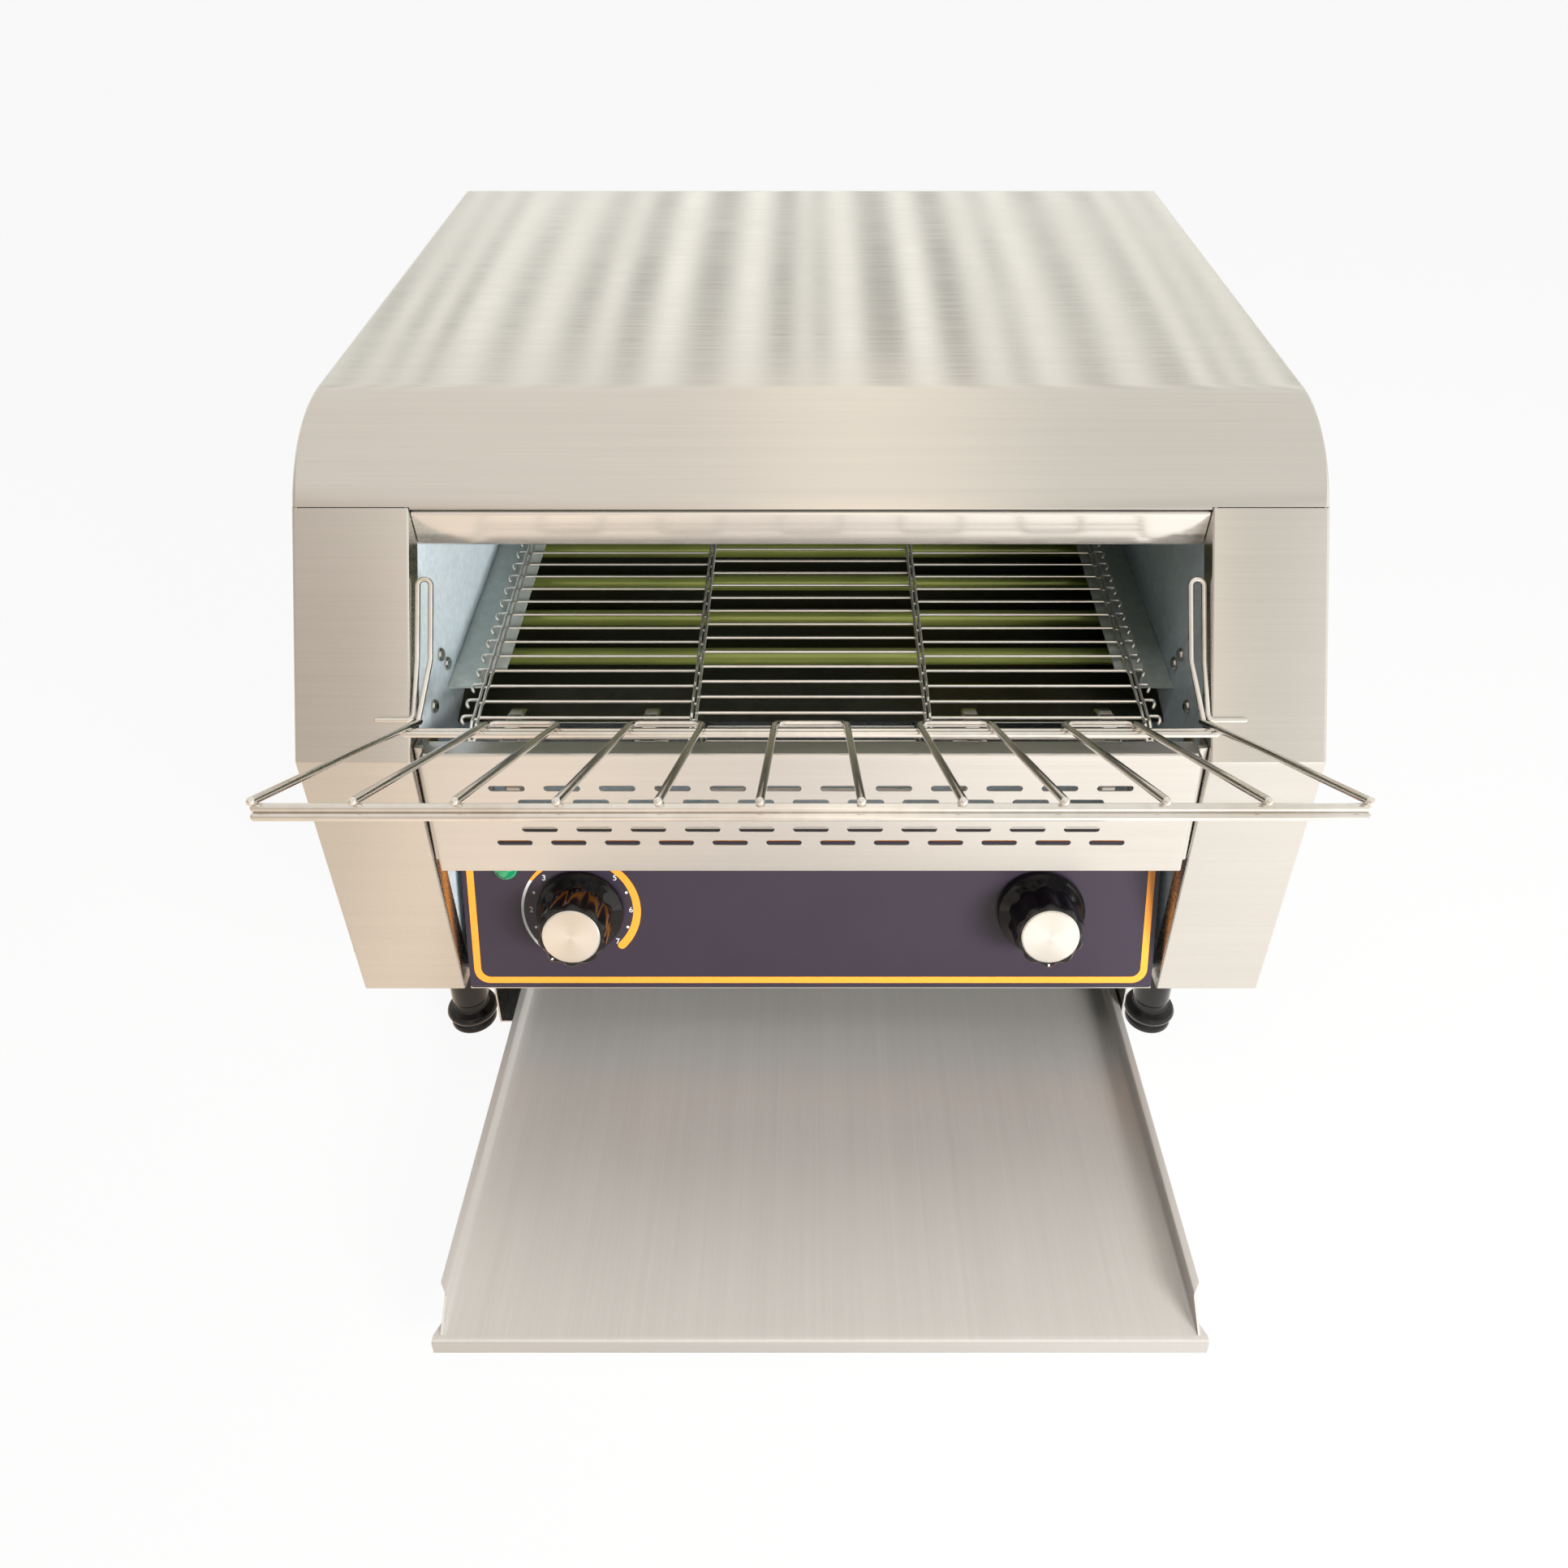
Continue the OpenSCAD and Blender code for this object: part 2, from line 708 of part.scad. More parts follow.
module heat_shield() {
    w = wall_x - gap;
    color(zinc) body_frame() {
        across(-w, w)
            polygon(ribbon([[panel_top_y + 2, shield_z], [shield_back, shield_z],
                [shield_back, base_top + gap + sheet],
                [shield_back - shield_flange, base_top + gap + sheet]], sheet));
    }
}
module toast_chute() {
    w = wall_x - gap;
    r = 95;
    back = rear_in - sheet - gap;
    turn = arc([back - r, 96], r, 0, -62, 12);
    end = turn[12] + 42 * heading(-62 - 90);
    color(steel) body_frame()
        across(-w, w)
            polygon(ribbon(concat([[back, 190]], turn, [end]), -sheet));
}
module heater_bank(n, d, x0, x1) {
    at_belt()
        for (i = [0:heater_n - 1])
            translate([x0, heater_start + i * heater_pitch, n])
                rotate([0, 90, 0])
                    cylinder(d = d, h = x1 - x0, $fn = 32);
}
module upper_heaters() {
    color([0.75, 0.72, 0.6]) body_frame() heater_bank(heater_up, heater_d, -wall_x + 4, wall_x - 4);
}
module lower_heaters() {
    color([0.75, 0.72, 0.6]) body_frame() heater_bank(0, heater_d, -wall_x + 4, wall_x - 4);
}
module heater_caps() {
    color([0.9, 0.88, 0.82]) body_frame()
        both_sides()
            difference() {
                for (n = [0, heater_up]) {
                    heater_bank(n, cap_collar_d, wall_x - gap - 2, wall_x - gap);
                    heater_bank(n, cap_d, wall_x - gap - 7, wall_out + cap_l);
                }
                for (n = [0, heater_up])
                    heater_bank(n, heater_d + 2 * fit, wall_x - 20, wall_x - 4 + fit);
            }
}
module belt_rail() {
    at_belt()
        translate([0, rail_clear, 0])
            rotate([-90, 0, 0])
                linear_extrude(run_l - 2 * rail_clear)
                    scale([1, -1])
                        polygon(ribbon([[rail_in, rail_top], [rail_in + rail_w, rail_top],
                            [rail_in + rail_w, rail_foot], [wall_x - gap, rail_foot]], -sheet));
}
module left_belt_rail() {
    color(steel) body_frame() side(-1) belt_rail();
}
module right_belt_rail() {
    color(steel) body_frame() side(1) belt_rail();
}

// ---- Wire belt ----
function strand_at(i) =
    let (k = (i + strand_n) % strand_n, turn = 360 / belt_teeth, back = 2 * run_pitches + belt_wrap)
    k <= run_pitches ? [k * belt_pitch, pitch_r]
    : k < run_pitches + belt_wrap
        ? [run_l + pitch_r * sin((k - run_pitches) * turn), pitch_r * cos((k - run_pitches) * turn)]
    : k <= back ? [run_l - (k - run_pitches - belt_wrap) * belt_pitch, -pitch_r]
    : [-pitch_r * sin((k - back) * turn), -pitch_r * cos((k - back) * turn)];
// Flat hook: its eye holds the wire in front at -reach, and its shank ends at tail
module link_profile(reach, tail) {
    eye_d = belt_wire_d + 2 * link_gap;
    difference() {
        union() {
            translate([-reach, 0]) circle(d = eye_d + 2 * link_t, $fn = 24);
            translate([-reach, -belt_wire_d / 2]) square([reach + tail, belt_wire_d]);
        }
        translate([-reach, 0]) circle(d = eye_d, $fn = 24);
        translate([-reach, -eye_d]) square([link_mouth, eye_d]);
    }
}
// Link at x from the wire at p to the wire at q, both in the travel plane
module link(x, p, q, tail) {
    v = p - q;
    translate([x - belt_wire_d / 2, p[0], p[1]])
        rotate([90, 0, 90])
            rotate([0, 0, atan2(v[1], v[0])])
                linear_extrude(belt_wire_d)
                    link_profile(norm(v), tail);
}
module cross_wire(x0, x1, p) {
    translate([x0, p[0], p[1]])
        rotate([0, 90, 0])
            cylinder(d = belt_wire_d, h = x1 - x0, $fn = 16);
}
// One bent wire of the belt: two outer runs at p and a middle run at q, a little behind.
// Neighbours carry their links a step apart, so that each eye holds a bare wire.
function strand_run(i) = unit(strand_at(i) - strand_at(i - 1));
function middle_at(i) = strand_at(i) + strand_offset * strand_run(i);
module strand(i) {
    odd = i % 2 == 1;
    x = link_x + (odd ? link_shift : 0);
    edge = belt_half_w - edge_inset - (odd ? 0 : link_shift);
    p = strand_at(i);
    q = middle_at(i);
    half_d = belt_wire_d / 2;
    cross_wire(-x, x, q);
    both_sides() {
        cross_wire(x, belt_half_w, p);
        if (odd) link(x, p, strand_at(i - 1), strand_offset + half_d);
        else link(x, q, middle_at(i - 1), half_d);
        link(edge, p, strand_at(i - 1), half_d);
    }
}
module conveyor_belt() {
    color(steel) body_frame()
        at_belt()
            for (i = [0:strand_n - 1])
                strand(i);
}

// ---- Shafts ----
module at_axle(s) {
    at_belt()
        translate([0, s, 0])
            rotate([0, 90, 0])
                children();
}
shaft_end = wall_out + bush_flange_t + gap + 1;
module shaft_bushes() {
    color([0.75, 0.6, 0.35]) body_frame()
        for (s = [0, run_l])
            both_sides()
                at_axle(s)
                    difference() {
                        union() {
                            translate([0, 0, wall_x - gap - 1])
                                cylinder(d = bush_d, h = sheet + gap + 1 + gap + bush_flange_t, $fn = 48);
                            translate([0, 0, wall_out + gap])
                                cylinder(d = bush_flange_d, h = bush_flange_t, $fn = 48);
                        }
                        cylinder(d = shaft_d + 2 * fit, h = 2 * half_w, $fn = 48);
                    }
}
module drive_shaft() {
    color(steel) body_frame()
        at_axle(run_l)
            translate([0, 0, -shaft_end])
                cylinder(d = shaft_d, h = shaft_end + motor_x + 10, $fn = 48);
}
module belt_sprocket() {
    rim = pitch_r + 2.9;
    gap_r = belt_wire_d / 2 + 0.45;
    difference() {
        union() {
            translate([0, 0, -2.5]) linear_extrude(5)
                difference() {
                    circle(r = rim, $fn = 96);
                    for (i = [0:belt_teeth - 1])
                        rotate([0, 0, i * 360 / belt_teeth])
                            translate([pitch_r, 0]) {
                                circle(r = gap_r, $fn = 24);
                                polygon([[0, -gap_r], [4, -gap_r - 1.8], [4, gap_r + 1.8], [0, gap_r]]);
                            }
                    for (i = [0:5])
                        rotate([0, 0, 30 + i * 60])
                            translate([pitch_r * 0.64, 0]) circle(r = 3.2, $fn = 24);
                }
            translate([0, 0, -6]) cylinder(d = shaft_d + 10, h = 12, $fn = 48);
        }
        translate([0, 0, -10]) cylinder(d = shaft_d + 2 * fit, h = 20, $fn = 48);
    }
}
module drive_sprockets() {
    color(steel) body_frame()
        both_sides()
            for (x = roller_x)
                at_axle(run_l)
                    translate([0, 0, x]) belt_sprocket();
}
module idler_shaft() {
    color(steel) body_frame()
        at_axle(0)
            translate([0, 0, -shaft_end])
                cylinder(d = shaft_d, h = 2 * shaft_end, $fn = 48);
}
module idler_rollers() {
    r = pitch_r - belt_wire_d / 2 - gap;
    color(steel) body_frame()
        both_sides()
            for (x = roller_x)
                at_axle(0)
                    translate([0, 0, x - 8])
                        rotate_extrude($fn = 64)
                            polygon([[shaft_d / 2 + fit, 0], [shaft_d / 2 + 4, 0], [shaft_d / 2 + 4, 4],
                                [r - 1, 4], [r, 5], [r, 11], [r - 1, 12], [shaft_d / 2 + 4, 12],
                                [shaft_d / 2 + 4, 16], [shaft_d / 2 + fit, 16]]);
}
module gear_motor() {
    color(zinc) body_frame()
        at_axle(run_l)
            difference() {
                union() {
                    translate([0, 0, motor_x + gap]) cylinder(d = gearbox_d, h = gearbox_t, $fn = 64);
                    translate([-10, 0, motor_x + gap + gearbox_t - eps])
                        cylinder(d = motor_can_d, h = motor_can_t, $fn = 64);
                }
                translate([0, 0, motor_x]) cylinder(d = shaft_d + 2 * fit, h = 10 + 1, $fn = 48);
            }
}
module motor_spacers() {
    color(steel) body_frame()
        at_axle(run_l)
            for (i = [0:3])
                rotate([0, 0, 45 + i * 90])
                    translate([motor_post_r, 0, wall_out + gap])
                        cylinder(d = motor_post_d, h = motor_stand - gap, $fn = 32);
}

// ---- Inside the base ----
module fan_frame() {
    color(black) body_frame()
        translate([fan_at[0], fan_at[1], base_top + gap])
            difference() {
                translate([-fan_w / 2, -fan_w / 2, 0]) cube([fan_w, fan_w, fan_t]);
                difference() {
                    translate([0, 0, -1]) cylinder(d = fan_w - 4, h = fan_t + 2, $fn = 64);
                    translate([0, 0, -2]) cylinder(d = 34, h = 6, $fn = 48);
                    for (i = [0:2])
                        rotate([0, 0, 30 + i * 120])
                            translate([0, -2, -2]) cube([fan_w / 2, 4, 6]);
                }
                for (x = [-1, 1], y = [-1, 1])
                    translate([x * (fan_w / 2 - 4.2), y * (fan_w / 2 - 4.2), -1])
                        cylinder(d = 4.3, h = fan_t + 2, $fn = 24);
            }
}
module fan_rotor() {
    z = base_top + gap + 4.6;
    color(black) body_frame()
        translate([fan_at[0], fan_at[1], z]) {
            cylinder(d = 34, h = fan_t - 6, $fn = 48);
            intersection() {
                difference() {
                    cylinder(d = fan_w - 7, h = fan_t - 6, $fn = 64);
                    translate([0, 0, -1]) cylinder(d = 33, h = fan_t, $fn = 48);
                }
                for (i = [0:6])
                    rotate([0, 0, i * 360 / 7])
                        translate([0, 0, (fan_t - 6) / 2])
                            rotate([38, 0, 0])
                                translate([0, -12, -0.8]) cube([fan_w, 24, 1.6]);
            }
        }
}
module terminal_block() {
    color([0.85, 0.82, 0.72]) body_frame()
        translate([gland_x + 30, shield_back - 60, base_top + gap])
            difference() {
                cube([52, 20, 14]);
                for (i = [0:4])
                    translate([6 + i * 10, -1, 8]) cube([5, 22, 10]);
            }
}
module cable_gland() {
    color(black) body_frame()
        translate([gland_x, body_d, gland_h])
            rotate([-90, 0, 0])
                difference() {
                    union() {
                        translate([0, 0, gap]) cylinder(d = gland_d, h = 3, $fn = 6);
                        translate([0, 0, gap]) cylinder(d = gland_d - 5, h = gland_l - gap, $fn = 48);
                        translate([0, 0, -sheet - gap - 4])
                            cylinder(d = gland_d - 6.6, h = sheet + 2 * gap + 4 + eps, $fn = 48);
                        translate([0, 0, -sheet - gap - 3]) cylinder(d = gland_d, h = 3, $fn = 6);
                    }
                    translate([0, 0, -10]) cylinder(d = 8, h = 30, $fn = 32);
                }
}
// Pan-head screw along +Z, its head standing on z = 0
module screw(l) {
    rotate_extrude($fn = 32)
        polygon(concat([[0, -l], [screw_d / 2, -l], [screw_d / 2, 0], [screw_d, 0]],
            [for (a = [0:30:90]) [screw_d * cos(a) * 0.5 + screw_d * 0.5 * cos(a), 0.6 + 1.6 * sin(a)]]));
}
module case_screws() {
    color(steel) body_frame() {
        both_sides() {
            for (i = [0:2])
                translate([half_w + gap, skirt_screw(i)[0], skirt_screw(i)[1]])
                    rotate([0, 90, 0]) screw(5);
            for (z = column_screw_z)
                translate([half_w + gap, front_at(z) + wrap_d / 2, z])
                    rotate([0, 90, 0]) screw(5);
        }
        for (s = [-1, 1], z = rear_screw_z)
            translate([s * rear_screw_x, body_d + gap, z])
                rotate([-90, 0, 0]) screw(1);
    }
}
module wall_screws() {
    color(steel) body_frame()
        both_sides()
            for (p = wall_screw_at)
                translate([wall_x - gap, p[0], p[1]])
                    rotate([0, -90, 0]) screw(6);
}

// ---- Loading rack ----
// Rack coordinates: x, distance along the slope from the back, height over the rods
module at_rack() {
    translate([0, rack_back[0], rack_back[1]])
        rotate([rack_rise, 0, 180])
            children();
}
rack_half = rack_pitch * 5.5;
module rack_bar(r, n) {
    wire([[-rack_half, r, n], [rack_half, r, n]], rack_wire_d);
}
module rack_hook() {
    start = [hook_x, front_at(hook_low_z) - (hook_wire_d / 2 + gap) / cos(face_lean), hook_low_z];
    kink = [hook_x, front_at(hook_kink_z) + 4.5, hook_kink_z];
    top = [hook_x, front_at(hook_top_z) + 6.5, hook_top_z];
    in = [hook_loop_w, 0, 0];
    wire([start + [hook_loop_w * 3, 0, 0], start, kink, top, top - in, kink - in,
        [rack_half, rack_back[0], rack_back[1]]], hook_wire_d);
}
module loading_rack() {
    touch = rack_wire_d - 0.4;
    color(steel) body_frame() {
        at_rack() {
            both_sides()
                wire([[rack_half, -2, 0], [rack_half, rack_l, 0]], rack_wire_d);
            for (i = [-2:2])
                translate([i * 2 * rack_pitch, 0, 0])
                    wire([[-rack_pitch / 2, rack_l, 0], [-rack_pitch / 2, 4, 0],
                        [rack_pitch / 2, 4, 0], [rack_pitch / 2, rack_l, 0]], rack_wire_d);
            for (r = [9, 17])
                rack_bar(r, -touch);
            rack_bar(rack_l - 3, -touch);
            rack_bar(rack_l - 3, -touch - rack_wire_d + 0.2);
        }
        both_sides() rack_hook();
    }
}

// ---- Tray and feet ----
module toast_tray() {
    back = tray_l - tray_out;
    hem = tray_w / 2 - tray_wall_x;
    taper = 15;
    color(steel) body_frame()
        translate([tray_shift, 0, tray_floor]) {
            translate([-tray_wall_x, -tray_out, 0])
                cube([2 * tray_wall_x, tray_l, sheet]);
            translate([-tray_w / 2, -tray_out, 0])
                cube([tray_w, taper - 2, sheet]);
            translate([-tray_w / 2, -tray_out, -tray_lip + sheet])
                cube([tray_w, sheet, tray_lip]);
            translate([-tray_wall_x, back - sheet, 0])
                cube([2 * tray_wall_x, sheet, tray_wall]);
            both_sides() {
                across(tray_wall_x - sheet, tray_wall_x)
                    polygon([[-tray_out + 2, 0], [back, 0], [back, tray_wall],
                        [-tray_out + taper, tray_wall]]);
                translate([tray_wall_x - eps, -tray_out + taper, tray_wall - sheet])
                    cube([hem + eps, tray_l - taper, sheet]);
            }
        }
}
module tray_runners() {
    front = toe_in + return_d + sheet + 2 * gap;
    low = tray_floor - gap;
    color(steel) body_frame()
        both_sides()
            translate([0, runner_end, 0])
                rotate([90, 0, 0])
                    linear_extrude(runner_end - front)
                        polygon(ribbon([[runner_x + 12, sheet], [runner_x, sheet], [runner_x, low],
                            [runner_x - runner_foot, low]], sheet));
}
module at_feet() {
    for (x = [-foot_x, foot_x], y = [foot_front, body_d - foot_back])
        translate([x, y, 0]) children();
}
module foot_stems() {
    low = -foot_h + pad_h + gap;
    color(black) body_frame()
        at_feet()
            difference() {
                union() {
                    rotate_extrude($fn = 48)
                        polygon([[0, low], [foot_d / 2 - 1, low], [foot_d / 2, low + 1], [foot_d / 2, -4],
                            [foot_d / 2 - 1, -3], [foot_d / 2 - 1, base_z - gap], [0, base_z - gap]]);
                    cylinder(d = stud_d, h = base_top + 10, $fn = 32);
                    translate([0, 0, base_top + gap]) cylinder(d = 14, h = 6, $fn = 6);
                }
                translate([0, 0, low - 1]) cylinder(d = stud_d + 2 * fit, h = 21, $fn = 32);
            }
}
module foot_pad(x, y) {
    r = foot_ring_d / 2;
    color(black) body_frame()
        translate([x, y, -foot_h])
            rotate_extrude($fn = 64)
                polygon([[0, 0], [r - 3, 0], [r - 1.5, 1.5], [r - 2, 4], [r - 3.5, 5], [r - 3.5, 6],
                    [r - 1, 7.5], [r, 9.5], [r - 1, 11.5], [foot_d / 2 - 1, 13], [foot_d / 2 - 1, pad_h],
                    [stud_d / 2, pad_h], [stud_d / 2, pad_h + 18], [0, pad_h + 18]]);
}
module front_left_pad() {
    foot_pad(-foot_x, foot_front);
}
module front_right_pad() {
    foot_pad(foot_x, foot_front);
}
module rear_left_pad() {
    foot_pad(-foot_x, body_d - foot_back);
}
module rear_right_pad() {
    foot_pad(foot_x, body_d - foot_back);
}

top_hood();
left_side_panel();
right_side_panel();
left_front_column();
right_front_column();
rear_panel();
base_plate();
upper_lip();
vent_guard();
control_panel();
panel_overlay();
left_inner_wall();
right_inner_wall();
upper_reflector();
lower_reflector();
heat_shield();
toast_chute();
upper_heaters();
lower_heaters();
heater_caps();
left_belt_rail();
right_belt_rail();
conveyor_belt();
shaft_bushes();
drive_shaft();
drive_sprockets();
idler_shaft();
idler_rollers();
gear_motor();
motor_spacers();
fan_frame();
fan_rotor();
speed_control();
speed_spindle();
speed_knob();
speed_knob_cap();
mode_switch();
mode_spindle();
mode_knob();
mode_knob_cap();
lamp_body();
lamp_lens();
loading_rack();
toast_tray();
tray_runners();
foot_stems();
front_left_pad();
front_right_pad();
rear_left_pad();
rear_right_pad();
cable_gland();
terminal_block();
case_screws();
wall_screws();
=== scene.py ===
import json
import math
import bmesh
import bpy
import numpy as np
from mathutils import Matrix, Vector, geometry


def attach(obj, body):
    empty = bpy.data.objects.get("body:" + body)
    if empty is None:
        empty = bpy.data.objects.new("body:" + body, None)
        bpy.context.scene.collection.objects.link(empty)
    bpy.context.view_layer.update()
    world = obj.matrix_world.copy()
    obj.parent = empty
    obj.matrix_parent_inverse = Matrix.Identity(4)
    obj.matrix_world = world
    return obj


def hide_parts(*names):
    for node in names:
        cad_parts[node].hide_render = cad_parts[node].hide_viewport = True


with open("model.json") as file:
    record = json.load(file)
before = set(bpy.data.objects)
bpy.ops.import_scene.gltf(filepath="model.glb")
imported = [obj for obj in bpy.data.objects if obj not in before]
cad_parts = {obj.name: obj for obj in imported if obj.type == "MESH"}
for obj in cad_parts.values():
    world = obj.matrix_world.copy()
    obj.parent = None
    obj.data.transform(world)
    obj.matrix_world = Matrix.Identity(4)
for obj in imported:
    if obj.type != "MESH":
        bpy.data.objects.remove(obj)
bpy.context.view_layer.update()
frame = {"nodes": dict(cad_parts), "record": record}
print("stage: frame loaded")

# Conveyor toaster. Drawing coordinates are millimetres: x across, y back from the
# bend of the front columns, z up from the underside of the body.
body = {"halfW": 234, "depth": 419, "height": 328, "sheet": 1, "columnIn": 181, "bend": 154.1,
        "toeIn": 10.5, "faceLean": 28.3, "seam": 255.7, "hoodR": 72, "roofFall": 6.28, "backR": 6,
        "wrap": 14, "return": 12, "gap": 0.3, "midY": 138, "footH": 59}
panel = {"height": 92, "lean": 14.5, "film": 0.4, "knobX": 118, "knobUp": 46, "lampX": -155, "lampUp": 70}
opening = body["columnIn"] - body["gap"]  # half the width between the columns


def toFrame(points):  # drawing millimetres to metres in the row frame
    return (np.asarray(points, float) + (0, -body["midY"], body["footH"])) / 1000


def unit(v):  # each vector divided by its length
    v = np.asarray(v, float)
    return v / np.linalg.norm(v, axis=-1, keepdims=True)


def heading(angle):  # the direction at an angle in degrees: its cosine across and its sine up
    a = np.radians(angle)
    return np.stack([np.cos(a), np.sin(a)], -1)


def leftOf(v):  # the direction a quarter turn to the left
    return np.array([-v[1], v[0]])


def meet(p, a, q, b):  # where the line through p at angle a meets the line through q at angle b
    u, v, w = heading(a), heading(b), np.subtract(q, p)
    return p + u * (w[0] * v[1] - w[1] * v[0]) / (u[0] * v[1] - u[1] * v[0])


def arcPoints(centre, radius, a, b, steps):  # centre + radius * heading, from angle a to angle b
    return np.asarray(centre) + radius * heading(np.linspace(a, b, steps + 1))


def roundCorners(points, radius, steps=6):  # each inner corner becomes an arc tangent to both its sides
    points = np.asarray(points, float)
    radii = np.broadcast_to(radius, len(points) - 2)
    out = [points[:1]]
    for before, corner, after, r in zip(points[:-2], points[1:-1], points[2:], radii):
        back, ahead = before - corner, after - corner
        u, v = unit(back), unit(ahead)
        half = math.acos(np.clip(u @ v, -1, 1)) / 2
        if half > 1.56:  # nearly straight on
            out.append(corner[None])
            continue
        cut = min(r / math.tan(half), 0.49 * np.linalg.norm(back), 0.49 * np.linalg.norm(ahead))
        centre = corner + unit(u + v) * cut / math.cos(half)
        turn = math.pi - 2 * half
        t = np.linspace(0, 1, steps + 1)[:, None]
        a, b = corner + u * cut - centre, corner + v * cut - centre
        out.append(centre + (np.sin((1 - t) * turn) * a + np.sin(t * turn) * b) / math.sin(turn))
    return np.concatenate(out + [points[-1:]])


def surface(grid, around=False):  # a grid of points as (points, quads), closed across when around
    rows, columns = grid.shape[:2]
    r = np.arange(rows - 1)[:, None] * columns
    c = np.arange(columns if around else columns - 1)[None]
    n = (c + 1) % columns
    quads = np.stack([r + c, r + n, r + columns + n, r + columns + c], -1)
    return grid.reshape(-1, 3), quads.reshape(-1, 4)


def join(*parts):  # several parts as one, the faces of each numbered on from the last
    points, faces, start = [], [], 0
    for p, f in parts:
        points.append(np.asarray(p, float))
        faces.extend((np.asarray(f) + start).tolist())
        start += len(p)
    return np.concatenate(points), faces


def strip(path, *stations):  # a (y, z) path repeated at each station along x
    path = np.asarray(path, float)
    grid = np.zeros((len(path), len(stations), 3))
    grid[:, :, 1:] = path[:, None]
    grid[:, :, 0] = stations
    return surface(grid)


def mirrored(part):  # x changes sign, and each face turns round to point outwards again
    points, faces = part
    return points * (-1, 1, 1), [list(f)[::-1] for f in faces]


def moved(part, at):  # every point plus at
    return np.asarray(part[0], float) + at, part[1]


def turned(part, angle):  # turned about z by an angle in degrees
    c, s = heading(angle)
    return np.asarray(part[0], float) @ np.array([[c, s, 0], [-s, c, 0], [0, 0, 1]]), part[1]


def atHeight(points, height):  # flat points given one third coordinate
    return np.concatenate([points, np.full(np.shape(points)[:-1] + (1,), height)], -1)


def sloped(points, origin, angle, side=1):
    # (x, s, n) becomes x and the (y, z) point origin + s * heading + side * n * the quarter turn to its left
    x, s, n = np.asarray(points, float).T[..., None]
    along = heading(angle)
    return np.concatenate([x, np.asarray(origin) + s * along + side * n * leftOf(along)], -1)


def ringFrames(path):  # tangents and two crosswise directions, carried along the path without twist
    path = np.asarray(path, float)
    steps = unit(np.diff(path, axis=0))
    tangents = unit(np.concatenate([steps[:1], steps[:-1] + steps[1:], steps[-1:]]))
    side = unit(np.cross(tangents[0], (0.123, 0.456, 0.881)))  # from any direction off the path
    sides = []
    for t in tangents:
        side = unit(side - t * (side @ t))
        sides.append(side)
    sides = np.array(sides)
    return tangents, sides, np.cross(tangents, sides)


def tube(path, radius, sides, ends):  # a circle carried along the path, closed by round ends
    path = np.asarray(path, float)
    tangents, u, v = ringFrames(path)
    a = np.radians(np.linspace(0, 90, ends + 1))[1:]
    tips = radius * np.sin(a)[:, None]
    grow = np.concatenate([radius * np.cos(a)[::-1], np.full(len(path), radius), radius * np.cos(a)])
    path = np.concatenate([(path[0] - tangents[0] * tips)[::-1], path, path[-1] + tangents[-1] * tips])
    u = np.concatenate([np.repeat(u[:1], ends, 0), u, np.repeat(u[-1:], ends, 0)])
    v = np.concatenate([np.repeat(v[:1], ends, 0), v, np.repeat(v[-1:], ends, 0)])
    a = np.linspace(0, 2 * np.pi, sides, endpoint=False)
    ring = u[:, None] * np.cos(a)[None, :, None] + v[:, None] * np.sin(a)[None, :, None]
    return surface(path[:, None] + grow[:, None, None] * ring, around=True)


def lathe(profile, sides=64, shape=None):
    # A (radius, height) profile turned round z; shape gives the radius a factor at each angle and height
    profile = np.asarray(profile, float)
    a = np.linspace(0, 2 * np.pi, sides, endpoint=False)[None]
    r = np.repeat(profile[:, :1], sides, 1)
    z = np.repeat(profile[:, 1:], sides, 1)
    if shape is not None:
        r = r * shape(a, z, r)
    return surface(np.stack([r * np.cos(a), r * np.sin(a), z], -1), around=True)


def insideLoop(points, loop):
    # True where a line from the point along x crosses the loop an odd number of times
    a, b = loop, np.roll(loop, -1, 0)
    x, y = points[:, :1], points[:, 1:]
    crosses = (a[:, 1] > y) != (b[:, 1] > y)
    rise = np.where(crosses, b[:, 1] - a[:, 1], 1)
    return (crosses & (x < a[:, 0] + (y - a[:, 1]) * (b[:, 0] - a[:, 0]) / rise)).sum(1) % 2 == 1


def plateWithHoles(outline, holes):  # flat triangles between a closed outline and its holes
    loops = [np.asarray(outline, float)] + [np.asarray(h, float) for h in holes]
    points = np.concatenate(loops)
    edges, start = [], 0
    for loop in loops:
        n = len(loop)
        edges += [(start + i, start + (i + 1) % n) for i in range(n)]
        start += n
    made = geometry.delaunay_2d_cdt([tuple(p) for p in points], edges, [], 1, 1e-6)  # 1: only the inside
    flat, faces = np.array([tuple(p) for p in made[0]]), np.array([list(f) for f in made[2]])
    middle = flat[faces].mean(1)
    inHole = np.any([insideLoop(middle, loop) for loop in loops[1:]], axis=0)
    return flat, faces[~inHole].tolist()


def slotLoop(cx, cy, length, width, steps=8):  # a round-ended slot along the first axis
    a = np.radians(np.linspace(-90, 90, steps + 1))
    r, s = width / 2, (length - width) / 2
    right = np.stack([cx + s + r * np.cos(a), cy + r * np.sin(a)], -1)
    left = np.stack([cx - s - r * np.cos(a), cy - r * np.sin(a)], -1)
    return np.concatenate([right, left])


def circleLoop(cx, cy, radius, steps=32):  # a full turn of arcPoints, without its last point
    return arcPoints((cx, cy), radius, 0, 360, steps)[:-1]


